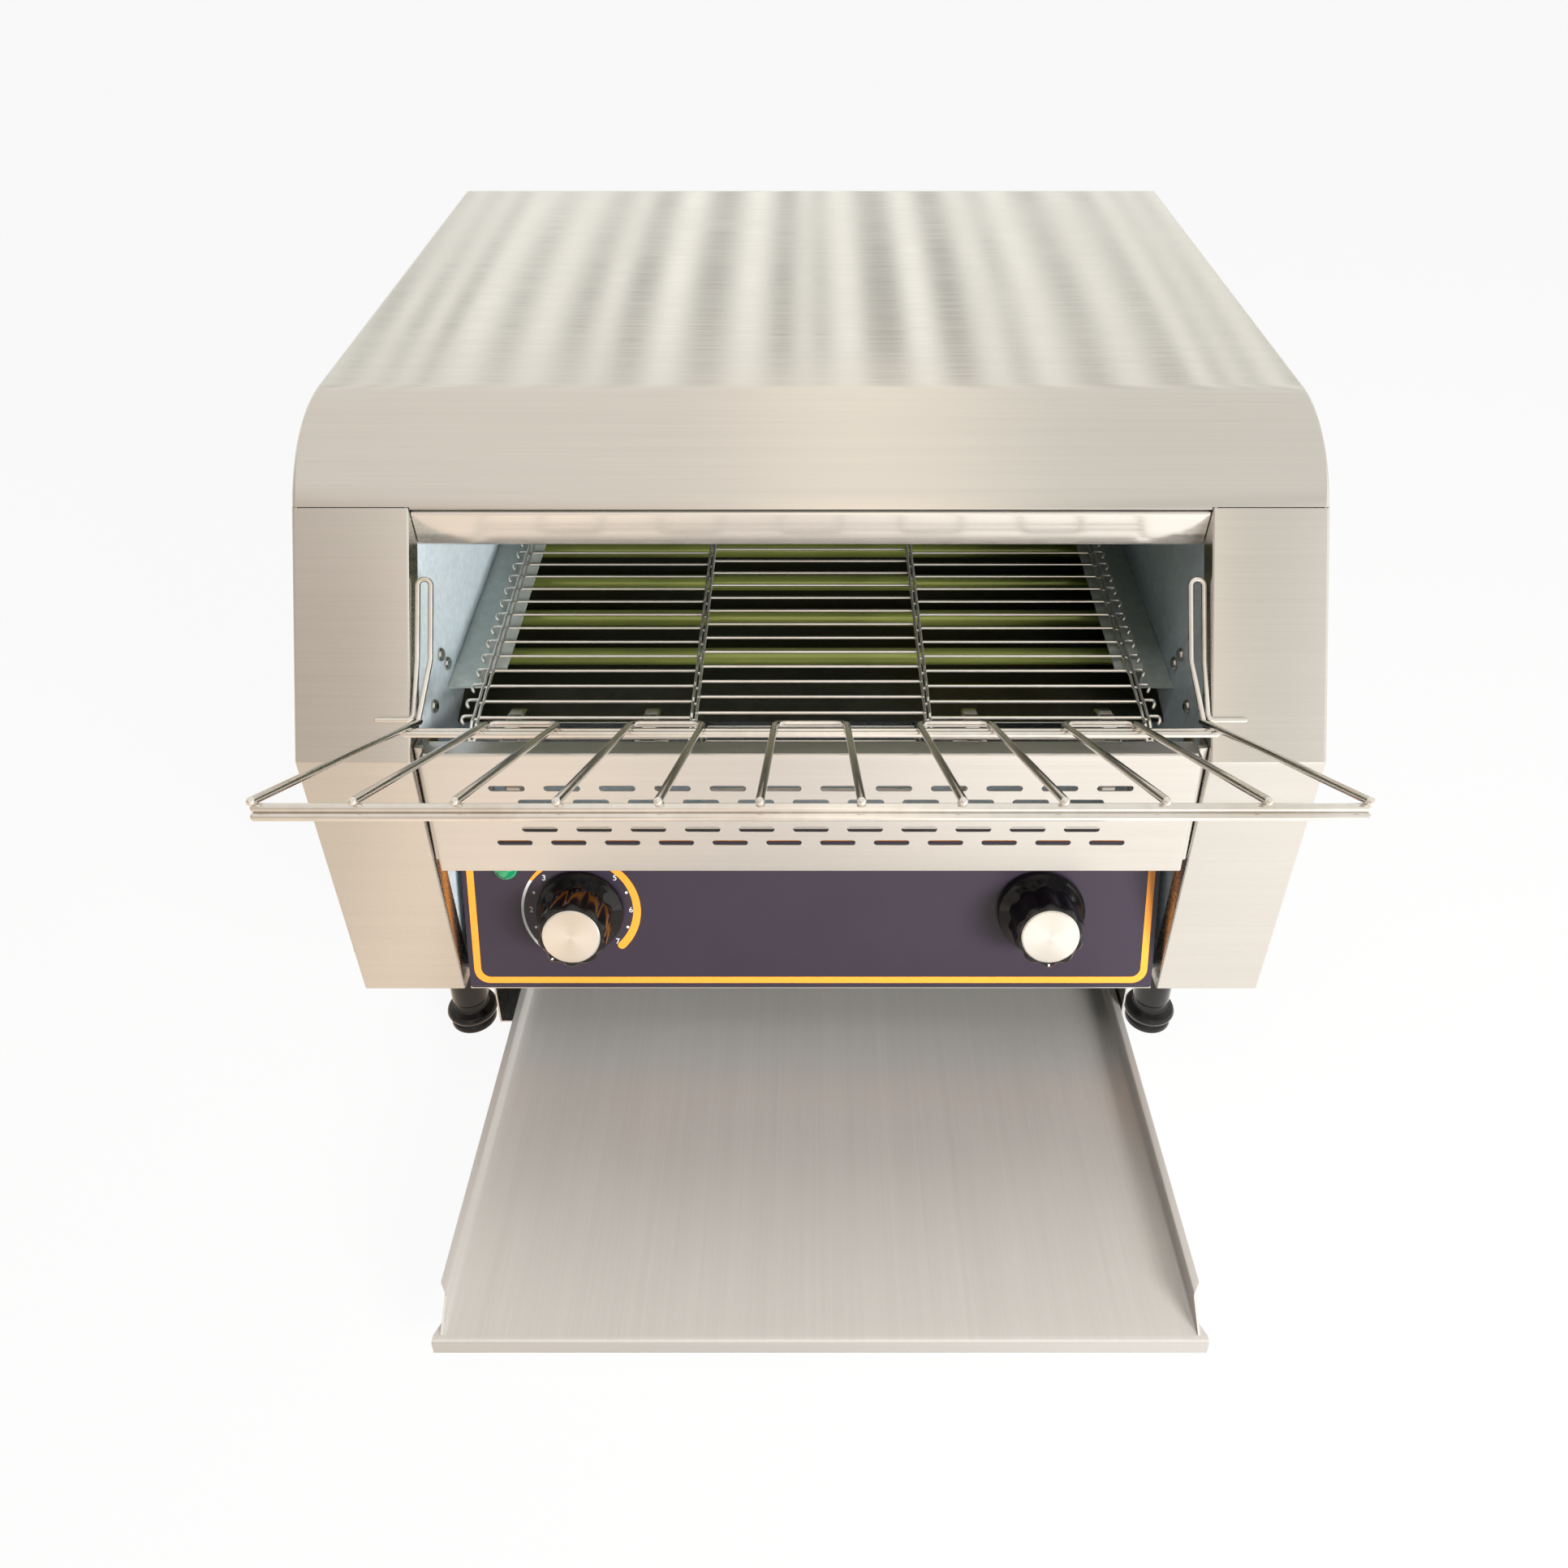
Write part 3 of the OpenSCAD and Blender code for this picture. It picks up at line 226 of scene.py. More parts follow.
def roundedRectangle(x0, y0, x1, y1, radius, steps=8):  # four quarter arcs, one at each corner
    low, high = (x0 + radius, y0 + radius), (x1 - radius, y1 - radius)
    corners = [((high[0], low[1]), -90), (high, 0), ((low[0], high[1]), 90), (low, 180)]
    return np.concatenate([arcPoints(c, radius, a, a + 90, steps) for c, a in corners])


def newObject(name, data):  # an object at the origin, in the scene
    made = bpy.data.objects.new(name, data)
    bpy.context.scene.collection.objects.link(made)
    return made


def addPiece(name, part, finish, rideOn, slot, replaces=(), merge=1e-3, outward=True, **edges):
    # Points closer than merge millimetres are joined; edges says how walls and corners are finished
    points, faces = part
    mesh = bpy.data.meshes.new(name)
    mesh.from_pydata(toFrame(points).tolist(), [], [list(map(int, f)) for f in faces])
    work = bmesh.new()
    work.from_mesh(mesh)
    bmesh.ops.remove_doubles(work, verts=work.verts, dist=merge / 1000)
    bmesh.ops.dissolve_degenerate(work, dist=1e-7, edges=work.edges)
    if outward:
        bmesh.ops.recalc_face_normals(work, faces=work.faces)
    work.to_mesh(mesh)
    work.free()
    finishPiece(newObject(name, mesh), finish, rideOn, slot, replaces, **edges)


def finishPiece(piece, finish, rideOn, slot, replaces, thickness=None, bevel=None, sharp=35, bevelSteps=2):
    # The wall grows inwards for a positive thickness and outwards for a negative one
    mesh = piece.data
    if thickness and not bevel:
        mesh.shade_flat()  # smooth normals would bend over the rim of a thin film
    else:
        mesh.shade_smooth()
        mesh.set_sharp_from_angle(angle=math.radians(sharp))
    if thickness:
        wall = piece.modifiers.new("wall", "SOLIDIFY")
        wall.thickness = abs(thickness) / 1000
        wall.offset = -1 if thickness > 0 else 1
        wall.use_even_offset = True
    if bevel:
        edge = piece.modifiers.new("edge", "BEVEL")
        edge.width = bevel / 1000
        edge.segments = bevelSteps
        edge.limit_method = "ANGLE"
        edge.angle_limit = math.radians(40)  # sharper corners than this are rounded
        edge.harden_normals = True
    mesh.materials.clear()
    mesh.materials.append(finish)
    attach(piece, rideOn)
    if replaces:
        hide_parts(*replaces)


bodyOf = {node: name for name, nodes in frame["record"]["behaviour"]["bodies"].items() for node in nodes}
slotOf = {part["node"]: part["material_slot"] for part in frame["record"]["subparts"]}


def refine(node, finish):  # a merged copy of a CAD node with softened edges
    mesh = frame["nodes"][node].data.copy()
    mesh.name = node + "_part"
    work = bmesh.new()
    work.from_mesh(mesh)
    bmesh.ops.remove_doubles(work, verts=work.verts, dist=1e-6)
    bmesh.ops.dissolve_limit(work, angle_limit=math.radians(0.5), verts=work.verts, edges=work.edges)
    work.to_mesh(mesh)
    work.free()
    for name in ("custom_normal", "sharp_edge", "sharp_face"):
        if name in mesh.attributes:
            mesh.attributes.remove(mesh.attributes[name])
    finishPiece(newObject(node + "_part", mesh), finish, bodyOf[node], slotOf[node], [node], bevel=0.2,
                sharp=30, bevelSteps=1)


def paint(node, finish):  # a CAD node whose shape stays takes a finish
    mesh = frame["nodes"][node].data
    mesh.materials.clear()
    mesh.materials.append(finish)


# The camera looks back and down by its pitch
camera = {"sensor": 36, "lens": 27.63, "at": (0, -440.6, 480.5), "pitch": 30, "shift": (-0.0171, -0.1014),
          "near": 0.01, "far": 50}
cameraData = bpy.data.cameras.new("camera")
cameraData.sensor_width, cameraData.lens = camera["sensor"], camera["lens"]
cameraData.shift_x, cameraData.shift_y = camera["shift"]
cameraData.clip_start, cameraData.clip_end = camera["near"], camera["far"]
cameraObject = newObject("camera", cameraData)
cameraObject.location = toFrame(camera["at"])
cameraObject.rotation_euler = (math.radians(90 - camera["pitch"]), 0, 0)
bpy.context.scene.camera = cameraObject
bpy.context.scene.view_settings.view_transform = "Standard"


class Value:  # wraps a socket, so that maths on it adds Math nodes
    def __init__(self, finish, socket):
        self.finish, self.socket = finish, socket

    def math(self, operation, *others):
        return self.finish.node("ShaderNodeMath", {"operation": operation}, [self, *others])

    def __add__(self, other):
        return self.math("ADD", other)

    def __mul__(self, other):
        return self.math("MULTIPLY", other)

    def __sub__(self, other):
        return self.math("SUBTRACT", other)

    def __rsub__(self, other):
        return self.finish.node("ShaderNodeMath", {"operation": "SUBTRACT"}, [other, self])

    def __truediv__(self, other):
        return self.math("DIVIDE", other)

    def __pow__(self, other):
        return self.math("POWER", other)

    __radd__, __rmul__ = __add__, __mul__

    def other(self, name):  # another output of the same node
        return Value(self.finish, self.socket.node.outputs[name])


class Finish:  # one material and the nodes that make it
    def __init__(self, name, **constants):
        self.material = bpy.data.materials.new(name)
        self.material.use_nodes = True
        self.tree = self.material.node_tree
        self.shader = self.tree.nodes["Principled BSDF"]
        for key, value in constants.items():
            self.shader.inputs[key.replace("_", " ")].default_value = value

    def node(self, kind, settings=None, inputs=None, output=0):
        # Adds one node: its settings come first, then the values or links of its sockets
        made = self.tree.nodes.new(kind)
        for key, value in (settings or {}).items():
            if key == "stops":
                ramp = made.color_ramp
                while len(ramp.elements) < len(value):
                    ramp.elements.new(0.5)
                for element, (place, colour) in zip(ramp.elements, value):
                    element.position = place
                    element.color = (*colour, 1)
            else:
                setattr(made, key, value)
        pairs = inputs.items() if isinstance(inputs, dict) else enumerate(inputs or [])
        for key, value in pairs:
            if isinstance(value, Value):
                self.tree.links.new(value.socket, made.inputs[key])
            else:
                made.inputs[key].default_value = value
        return Value(self, made.outputs[output])

    def here(self):  # object coordinates
        return self.node("ShaderNodeTexCoord", output="Object")

    def axes(self, vector):  # the three parts of a vector
        x = self.node("ShaderNodeSeparateXYZ", {}, [vector])
        return x, x.other("Y"), x.other("Z")

    def place(self, scale, at=(0, 0, 0)):  # object coordinates times scale, plus at
        scale = (scale,) * 3 if np.isscalar(scale) else scale
        return self.node("ShaderNodeMapping", {}, {"Vector": self.here(), "Scale": scale, "Location": at})

    def noise(self, scale, detail=2.0, rough=0.5, at=(0, 0, 0)):  # scale may differ along x, y and z
        return self.node("ShaderNodeTexNoise", {}, {"Vector": self.place(scale, at), "Scale": 1.0,
                                                    "Detail": detail, "Roughness": rough})

    def noiseAlong(self, distance, scale, detail, rough=0.5):  # noise that depends on one number
        return self.node("ShaderNodeTexNoise", {"noise_dimensions": "1D"},
                         {"W": distance, "Scale": scale, "Detail": detail, "Roughness": rough})

    def blend(self, factor, low, high):  # mixes two colours, either of them fixed or a socket
        low, high = (c if isinstance(c, Value) else (*c, 1) for c in (low, high))
        return self.node("ShaderNodeMix", {"data_type": "RGBA"}, {0: factor, 6: low, 7: high}, output=2)

    def spread(self, value, low, high, toLow, toHigh):  # a smooth change from one range to another
        return self.node("ShaderNodeMapRange", {"interpolation_type": "SMOOTHSTEP"},
                         [value, low, high, toLow, toHigh])

    def ramp(self, value, stops):  # colours at places from 0 to 1, with a soft passage between them
        made = self.node("ShaderNodeValToRGB", {"stops": stops}, [value])
        made.socket.node.color_ramp.interpolation = "EASE"
        return made

    def bump(self, height, strength, distance):  # a normal tilted as if the height stood out of the face
        return self.node("ShaderNodeBump", {}, {"Strength": strength, "Distance": distance, "Height": height})

    def rays(self):  # 1 for rays from the camera, and 1 for mirrored and refracted ones
        seen = self.node("ShaderNodeLightPath", output="Is Camera Ray")
        return seen, (seen.other("Is Glossy Ray") + seen.other("Is Transmission Ray")).math("MINIMUM", 1.0)

    def show(self, shader):  # joins a shader to the tree's output
        out = next(n for n in self.tree.nodes if n.type.startswith("OUTPUT"))
        self.tree.links.new(shader.socket, out.inputs["Surface"])

    def set(self, **links):  # joins values to the shader's inputs and gives back the material
        for key, value in links.items():
            self.tree.links.new(value.socket, self.shader.inputs[key.replace("_", " ")])
        return self.material


def shade(colour, factor):  # a colour made lighter or darker
    return tuple(min(1, c * factor) for c in colour)


def brushedSteel(name, along="x", colour=(0.62, 0.605, 0.575), rough=0.26, grain=0.16, vary=0.05,
                 metal=1.0, paintedShadeFront=None):
    # Fine grain lines run along one axis; broad clouds tint the sheet and change its gloss.
    # Shade is painted on whatever lies in front of a plane across y, given in metres by the last argument:
    # there the colour darkens
    finish = Finish(name, Metallic=metal, Specular_IOR_Level=0.5)
    fine = [9 if axis == along else 900 for axis in "xyz"]
    soft = [3 if axis == along else 260 for axis in "xyz"]
    lines = finish.noise(fine, detail=3, rough=0.7)
    streaks = finish.noise(soft, at=(3, 1, 2))
    clouds = finish.noise(6, detail=3, at=(1, 5, 2))
    light = (lines - 0.5) * 0.5 + (streaks - 0.5) * 0.35 + (clouds - 0.5) * 0.5
    tint = finish.blend(light + 0.5, shade(colour, 1 - vary * 2), shade(colour, 1 + vary * 2))
    if paintedShadeFront is not None:
        # painted shade: the colour in front of the plane darkens, standing in for shade on the tray's front
        # face
        y = finish.axes(finish.here())[1]
        paintedShade = finish.spread(y, paintedShadeFront, paintedShadeFront + 0.0006, 1.0, 0.0)
        tint = finish.blend(paintedShade, tint, shade(colour, 0.68))
    gloss = (lines - 0.5) * 0.16 + (clouds - 0.5) * 0.12 + rough
    return finish.set(Base_Color=tint, Roughness=gloss,
                      Normal=finish.bump(lines + streaks * 0.6, grain, 0.00006))


def galvanised(name, colour, rough=0.4, metal=0.85, tintTo=None):
    # Zinc sheet: pale spangles under a blue grey haze, with heat stains where tintTo gives their colour
    finish = Finish(name, Metallic=metal)
    spangle = finish.node("ShaderNodeTexVoronoi", {}, {"Vector": finish.place(70), "Randomness": 1.0},
                          output="Color")
    flake = finish.node("ShaderNodeSeparateColor", {}, [spangle])
    haze = finish.noise(14, detail=4)
    tint = finish.blend(flake * 0.35 + haze * 0.65, shade(colour, 0.82), shade(colour, 1.16))
    if tintTo:
        heat = finish.noise(9, detail=3, at=(4, 2, 7))
        tint = finish.blend(finish.spread(heat, 0.4, 0.65, 0.0, 0.75), tint, tintTo)
    return finish.set(Base_Color=tint, Roughness=(flake - 0.5) * 0.12 + (haze - 0.5) * 0.2 + rough,
                      Normal=finish.bump(haze + flake * 0.3, 0.08, 0.0002))


def brightWire(name, colour=(0.74, 0.72, 0.69), rough=0.13, tinted=0.25, metal=1.0):
    # Drawn and plated wire: lines along it are too fine to see, so small spots vary its gloss, and heat
    # stains it brown in places
    finish = Finish(name, Metallic=metal)
    spots = finish.noise(220, detail=3)
    heat = finish.noise(18, detail=3, at=(2, 8, 5))
    plated = finish.blend(spots, shade(colour, 0.9), shade(colour, 1.1))
    tint = finish.blend(finish.spread(heat, 0.45, 0.7, 0.0, tinted), plated, (0.42, 0.33, 0.22))
    return finish.set(Base_Color=tint, Roughness=(spots - 0.5) * 0.14 + rough,
                      Normal=finish.bump(spots, 0.06, 0.0001))


def plastic(name, colour, rough=0.3, coat=0.0, texture=0.05, scale=900, vary=0.3, specular=0.5):
    # Moulded plastic: a faint grain, and gloss that drifts a little
    finish = Finish(name, Coat_Weight=coat, Coat_Roughness=0.06, IOR=1.5, Specular_IOR_Level=specular)
    grain = finish.noise(scale)
    drift = finish.noise(40, detail=3, at=(6, 3, 1))
    tint = finish.blend(drift, shade(colour, 1 - vary), shade(colour, 1 + vary))
    return finish.set(Base_Color=tint, Roughness=(drift - 0.5) * 0.16 + rough,
                      Normal=finish.bump(grain, texture, 0.0001))


def printInk(name, colour):
    # Screen print: an even colour with a fine grain
    finish = Finish(name, IOR=1.5)
    grain = finish.noise(700)
    tint = finish.blend(grain, shade(colour, 0.93), shade(colour, 1.05))
    return finish.set(Base_Color=tint, Roughness=(grain - 0.5) * 0.1 + 0.42,
                      Normal=finish.bump(grain, 0.05, 0.0001))


def heaterGlaze(name, colour):
    # Heating tube: green grey glaze in long patches
    finish = Finish(name, Metallic=0.6, Coat_Weight=0.5, Coat_Roughness=0.15)
    bloom = finish.noise((5, 60, 60), detail=4)
    fine = finish.noise((240, 400, 400))
    tint = finish.blend(bloom, shade(colour, 0.55), shade(colour, 1.35))
    return finish.set(Base_Color=tint, Roughness=(bloom - 0.5) * 0.25 + 0.34,
                      Normal=finish.bump(fine, 0.08, 0.0002))


def spunAluminium(name, centre):
    # Rings turned round the centre of the cap, in the plane of the panel. Turned metal shines in two
    # opposite sectors, a highlight painted into the colour: the cosine of twice the angle round the centre
    finish = Finish(name, Metallic=1.0)
    local = finish.node("ShaderNodeMapping", {"vector_type": "TEXTURE"}, {
        "Vector": finish.here(), "Location": tuple(centre),
        "Rotation": (math.radians(90 - panel["lean"]), 0, 0)})
    x, y = finish.axes(local)[:2]
    rings = finish.noiseAlong((x * x + y * y) ** 0.5, 5200.0, 2.0)
    drift = finish.noise(60)
    paintedHighlight = (y.math("ARCTAN2", x) * 2.0 + 0.6).math("COSINE") * 0.5 + 0.5
    # the colour mixes the real turned rings with a painted highlight in two opposite sectors
    tint = finish.blend(rings * 0.4 + paintedHighlight * 0.6, (0.68, 0.645, 0.59), (0.84, 0.825, 0.79))
    return finish.set(Base_Color=tint, Roughness=(drift - 0.5) * 0.1 + 0.24,
                      Normal=finish.bump(rings, 0.35, 0.00008))


def litLens(name):
    # Green moulding with a little light of its own: small cells vary its colour and gloss
    finish = Finish(name, Transmission_Weight=0.35, IOR=1.5, Coat_Weight=1.0, Emission_Strength=0.12)
    cells = finish.noise(500, detail=1)
    return finish.set(Base_Color=finish.blend(cells, (0.0, 0.16, 0.06), (0.01, 0.42, 0.17)),
                      Emission_Color=finish.blend(cells, (0.0, 0.25, 0.08), (0.02, 0.6, 0.25)),
                      Roughness=cells * 0.1 + 0.05)


hoodSteel = brushedSteel("hoodSteel", rough=0.13, grain=0.22)
columnSteel = brushedSteel("columnSteel")
sideSteel = brushedSteel("sideSteel", "y")
rearSteel = brushedSteel("rearSteel", rough=0.3)
guardSteel = brushedSteel("guardSteel", colour=(0.59, 0.565, 0.535), rough=0.2, metal=0.85)
lipSteel = brushedSteel("lipSteel", colour=(0.66, 0.635, 0.60), rough=0.15, grain=0.08, metal=0.85)
chuteSteel = brushedSteel("chuteSteel", colour=(0.5, 0.5, 0.49), rough=0.34)
shaftSteel = brushedSteel("shaftSteel", colour=(0.55, 0.54, 0.52), rough=0.24)
bronze = brushedSteel("bronze", colour=(0.45, 0.30, 0.13), rough=0.35)
wallZinc = galvanised("wallZinc", (0.70, 0.80, 0.87), rough=0.5, metal=0.25)
plateZinc = galvanised("plateZinc", (0.42, 0.46, 0.49))
hotZinc = galvanised("hotZinc", (0.07, 0.072, 0.058), tintTo=(0.06, 0.052, 0.022))
railSteel = galvanised("railSteel", (0.60, 0.65, 0.62), metal=0.4)
rackWire = brightWire("rackWire")
beltWire = brightWire("beltWire", colour=(0.82, 0.80, 0.76), rough=0.22, tinted=0.2, metal=0.88)
blackGloss = plastic("blackGloss", (0.004, 0.004, 0.0045), rough=0.12, coat=0.15, texture=0.015, specular=0.3)
darkPlastic = plastic("darkPlastic", (0.03, 0.03, 0.033), rough=0.5, texture=0.2)
footRubber = plastic("footRubber", (0.005, 0.005, 0.0055), rough=0.18, coat=0.1, texture=0.02, specular=0.3)
ceramic = plastic("ceramic", (0.70, 0.67, 0.58), rough=0.6, texture=0.25, vary=0.08)
terminalPlastic = plastic("terminalPlastic", (0.62, 0.56, 0.42), rough=0.42, vary=0.08)
motorPaint = plastic("motorPaint", (0.17, 0.175, 0.185), rough=0.42, texture=0.15, vary=0.12)
filmBlack = plastic("filmBlack", (0.030, 0.022, 0.037), rough=0.38, texture=0.3, scale=2500, vary=0.15,
                    specular=0.4)
orangeInk = printInk("orangeInk", (0.90, 0.33, 0.035))
whiteInk = printInk("whiteInk", (0.72, 0.72, 0.72))
heaterTube = heaterGlaze("heaterTube", (0.31, 0.36, 0.09))
lampGreen = litLens("lampGreen")
print("stage: finishes")

# Side outline of the case, in (y, z). A line is a point and an angle, moved into the body by a depth
faceAngle = 90 - body["faceLean"]
lowerAngle = math.degrees(math.atan2(body["bend"], -body["toeIn"]))


def lineAt(point, angle, depth):
    return np.asarray(point, float) - depth * leftOf(heading(angle)), angle


def lowerLine(depth):
    return lineAt((0, body["bend"]), lowerAngle, depth)


def faceLine(depth):
    return lineAt((0, body["bend"]), faceAngle, depth)


def roofLine(depth):
    return lineAt((body["depth"], body["height"]), body["roofFall"], depth)


# Where two of those lines cross, or where one meets a height z or a distance back y
def footPoint(depth, z):
    return meet(*lowerLine(depth), (0, z), 0)


def bendPoint(depth):
    return meet(*lowerLine(depth), *faceLine(depth))


def seamPoint(depth, z):
    return meet(*faceLine(depth), (0, z), 0)


def roofPoint(depth, y):
    return meet(*roofLine(depth), (y, 0), 90)


def faceAt(z):  # how far back the slanted face lies at a height over the bend
    return (z - body["bend"]) * math.tan(math.radians(body["faceLean"]))


hoodCentre = meet(*faceLine(body["hoodR"]), *roofLine(body["hoodR"]))


def carriedPanel(edge, inner, profile):
    # A point is edge + depth * (inner - edge) at x, for the profile's pairs of x and depth from 0 to 1
    profile = np.asarray(profile, float)
    yz = edge[:, None] + profile[None, :, 1:] * (inner - edge)[:, None]
    x = np.broadcast_to(profile[None, :, :1], yz.shape[:2] + (1,))
    return surface(np.concatenate([x, yz], 2))


def cornerProfile(x, direction, radius, depth, steps=6):  # a quarter turn from the side wall to the face
    a = np.radians(np.linspace(0, 90, steps + 1))
    return np.stack([x + direction * radius * (1 - np.cos(a)), radius * (1 - np.sin(a)) / depth], -1)


sheetEdges = {"thickness": body["sheet"], "bevel": 0.2, "sharp": 50}
hood = {"corner": 2.2, "flange": 13, "foldR": 1.4, "frontSteps": 40, "backSteps": 8, "stations": 13}


def makeHood():
    # The outline runs from the seam over the front bend and the roof to the back edge; the wraps at the
    # sides reach in to a second outline that lies deeper by their width
    wrap, half, front, back = body["wrap"], body["halfW"], hood["frontSteps"], hood["backSteps"]
    backCentre = roofPoint(body["backR"], body["depth"] - body["backR"])
    innerR = body["hoodR"] - wrap
    edge = np.concatenate([
        [seamPoint(0, body["seam"])],
        arcPoints(hoodCentre, body["hoodR"], faceAngle + 90, body["roofFall"] + 90, front),
        arcPoints(backCentre, body["backR"], body["roofFall"] + 90, 0, back),
        [(body["depth"], body["height"] - wrap)]])
    inner = np.concatenate([
        [seamPoint(wrap, body["seam"])],
        arcPoints(hoodCentre, innerR, faceAngle + 90, body["roofFall"] + 90, front),
        [edge[front + 2] - wrap * leftOf(heading(body["roofFall"]))],
        np.tile(roofPoint(wrap, body["depth"]), (back + 1, 1))])
    # The inner arc would start under the seam, so its first points move up it to the seam's level
    level = hoodCentre[0] - math.sqrt(innerR ** 2 - (body["seam"] - hoodCentre[1]) ** 2)
    inner[inner[:, 1] <= body["seam"]] = (level, body["seam"])
    stations = np.linspace(-opening, opening, hood["stations"])
    side = np.concatenate([[(-half, 1)], cornerProfile(-half, 1, hood["corner"], wrap)])
    profile = np.concatenate([side, atHeight(stations[:, None], 0), (side * (-1, 1))[::-1]])
    # The lower edge folds in over the opening
    top = seamPoint(0, body["seam"])
    low = top - heading(faceAngle) * hood["foldR"]
    fold = roundCorners([top, low, low + (hood["flange"], 0)], hood["foldR"], 5)
    return join(carriedPanel(edge, inner, profile), strip(fold[::-1], *stations))


addPiece("hoodSheet", makeHood(), hoodSteel, "cabinet", "steel", ["top_hood"], **sheetEdges)

column = {"corner": 1.8, "bendR": 3.0, "innerCorner": 1.2, "flange": (0.6, 10), "flangeInset": (1.2, 3)}


def makeColumn():
    # The outline bends once, and the profile runs from the return at the opening round the face to the side
    wrap, inX, outX = body["wrap"], body["columnIn"], body["halfW"]
    top = seamPoint(0, body["seam"] - body["gap"])
    edge = roundCorners([footPoint(0, 0), bendPoint(0), top], column["bendR"])
    # The side wrap ends level with the square cut of the face's sheet
    last = seamPoint(wrap, (top - body["sheet"] * leftOf(heading(faceAngle)))[1])
    inner = np.concatenate([[footPoint(wrap, 0)], np.tile(bendPoint(wrap), (len(edge) - 2, 1)), [last]])
    left = np.concatenate([[(inX, body["return"] / wrap)],
                           cornerProfile(inX, 1, column["innerCorner"], wrap, 5)])
    right = np.concatenate([[(outX, 1)], cornerProfile(outX, -1, column["corner"], wrap, 5)])
    return carriedPanel(edge, inner, np.concatenate([left, right[::-1]]))


def makeColumnFoot():  # a flat flange under the column, from its opening side to its outer side
    y = footPoint(body["sheet"] / 2, 0)[0]
    start, end = column["flange"]
    inset, outset = column["flangeInset"]
    return strip([(y + start, 0), (y + end, 0)], body["columnIn"] + inset, body["halfW"] - outset)


for side in ("left", "right"):
    sheet, flange = makeColumn(), makeColumnFoot()
    if side == "left":
        sheet, flange = mirrored(sheet), mirrored(flange)
    addPiece(side + "ColumnSheet", sheet, columnSteel, "cabinet", "steel", [side + "_front_column"],
             **sheetEdges)
    addPiece(side + "ColumnFoot", flange, columnSteel, "cabinet", "steel", thickness=-1, bevel=0.2)

lipShape = {"inset": 0.2, "under": 2.5, "drop": 18.4, "back": 3.9, "tail": 14, "bendR": 1.6}


def makeLip():  # the polished strip under the hood: a flange, a nearly upright face and a flange again
    top = seamPoint(body["sheet"] + lipShape["inset"], body["seam"] - lipShape["under"])
    drop = -lipShape["drop"]
    path = [top + (body["wrap"], 0), top, top + (lipShape["back"], drop), top + (lipShape["tail"], drop)]
    return strip(roundCorners(path, lipShape["bendR"]), -opening, opening)


addPiece("polishedLip", makeLip(), lipSteel, "cabinet", "mirror_steel", ["upper_lip"], **sheetEdges)

guard = {"width": 352, "height": 68, "out": 3.5, "overPanel": 4, "bendR": 2.2, "slotL": 16.5, "slotW": 3,
         "pitch": 25.2, "rows": 5, "rowRise": 7.95, "firstRow": 17.2, "longRow": 12, "ledge": 10.5,
         "earBack": 8, "earFlange": 10, "earR": 1.2}
guardZ = panel["height"] * math.cos(math.radians(panel["lean"])) + guard["overPanel"]


def makeGuard():
    # A flat face with staggered rows of slots, a ledge folded back over it, and an ear at each side
    half, r, top, out = guard["width"] / 2, guard["bendR"], guard["height"], -guard["out"]
    slots = []
    for row in range(guard["rows"]):
        count = guard["longRow"] - row % 2
        for i in range(count):
            slots.append(slotLoop((i - (count - 1) / 2) * guard["pitch"],
                                  guard["firstRow"] + row * guard["rowRise"], guard["slotL"], guard["slotW"]))
    flat, faces = plateWithHoles([(-half + r, 0), (half - r, 0), (half - r, top - r), (-half + r, top - r)],
                                 slots)
    face = np.stack([flat[:, 0], np.full(len(flat), out), guardZ + flat[:, 1]], -1)
    topZ, back = guardZ + top, out + guard["earBack"]
    fold = roundCorners([(out, topZ - r), (out, topZ), (out + guard["ledge"], topZ)], r)
    turn = roundCorners([(half - r, out), (half, out), (half, back), (opening, back),
                         (opening, back + guard["earFlange"])], (r, guard["earR"], guard["earR"]), 5)
    ear, earFaces = strip(turn, guardZ, topZ - r)
    ear = (np.roll(ear, -1, axis=1), earFaces)  # drawn out along z, not x
    return join((face, faces), strip(fold, -half + r, half - r), ear, mirrored(ear))


addPiece("ventGuardSheet", makeGuard(), guardSteel, "cabinet", "steel", ["vent_guard"], thickness=1,
         bevel=0.25, sharp=50)
print("stage: case sheets")


def onPanel(points):  # x, distance up the slope and distance out of the face, in drawing coordinates
    return sloped(points, (body["toeIn"], 0), 90 - panel["lean"])


def panelPart(part):
    return onPanel(part[0]), part[1]


def ringBand(outer, inner, height):  # a flat band between two loops of equal length
    grid = atHeight(np.stack([outer, inner]), height)
    return surface(np.concatenate([grid, grid[:, :1]], 1))


def disc(centre, radius, height, steps):  # one flat round face
    return atHeight(circleLoop(*centre, radius, steps), height), [list(range(steps))]


def textPart(words, size, at, height):  # a flat outline of a character, centred on a point of the panel
    curve = bpy.data.curves.new("mark", "FONT")
    curve.body = words
    curve.size = size
    curve.align_x, curve.align_y = "CENTER", "CENTER"
    holder = newObject("mark", curve)
    bpy.context.view_layer.update()
    shape = holder.evaluated_get(bpy.context.evaluated_depsgraph_get()).to_mesh()
    points = np.array([v.co for v in shape.vertices], float)
    faces = [list(p.vertices) for p in shape.polygons]
    bpy.data.objects.remove(holder)
    bpy.data.curves.remove(curve)
    return points * (1, 1, 0) + (*at, height), faces


film = {"sideGap": 3, "edgeGap": 1, "cornerR": 1.5, "knobHole": 4.8, "lampHole": 5.3, "thickness": 0.38}
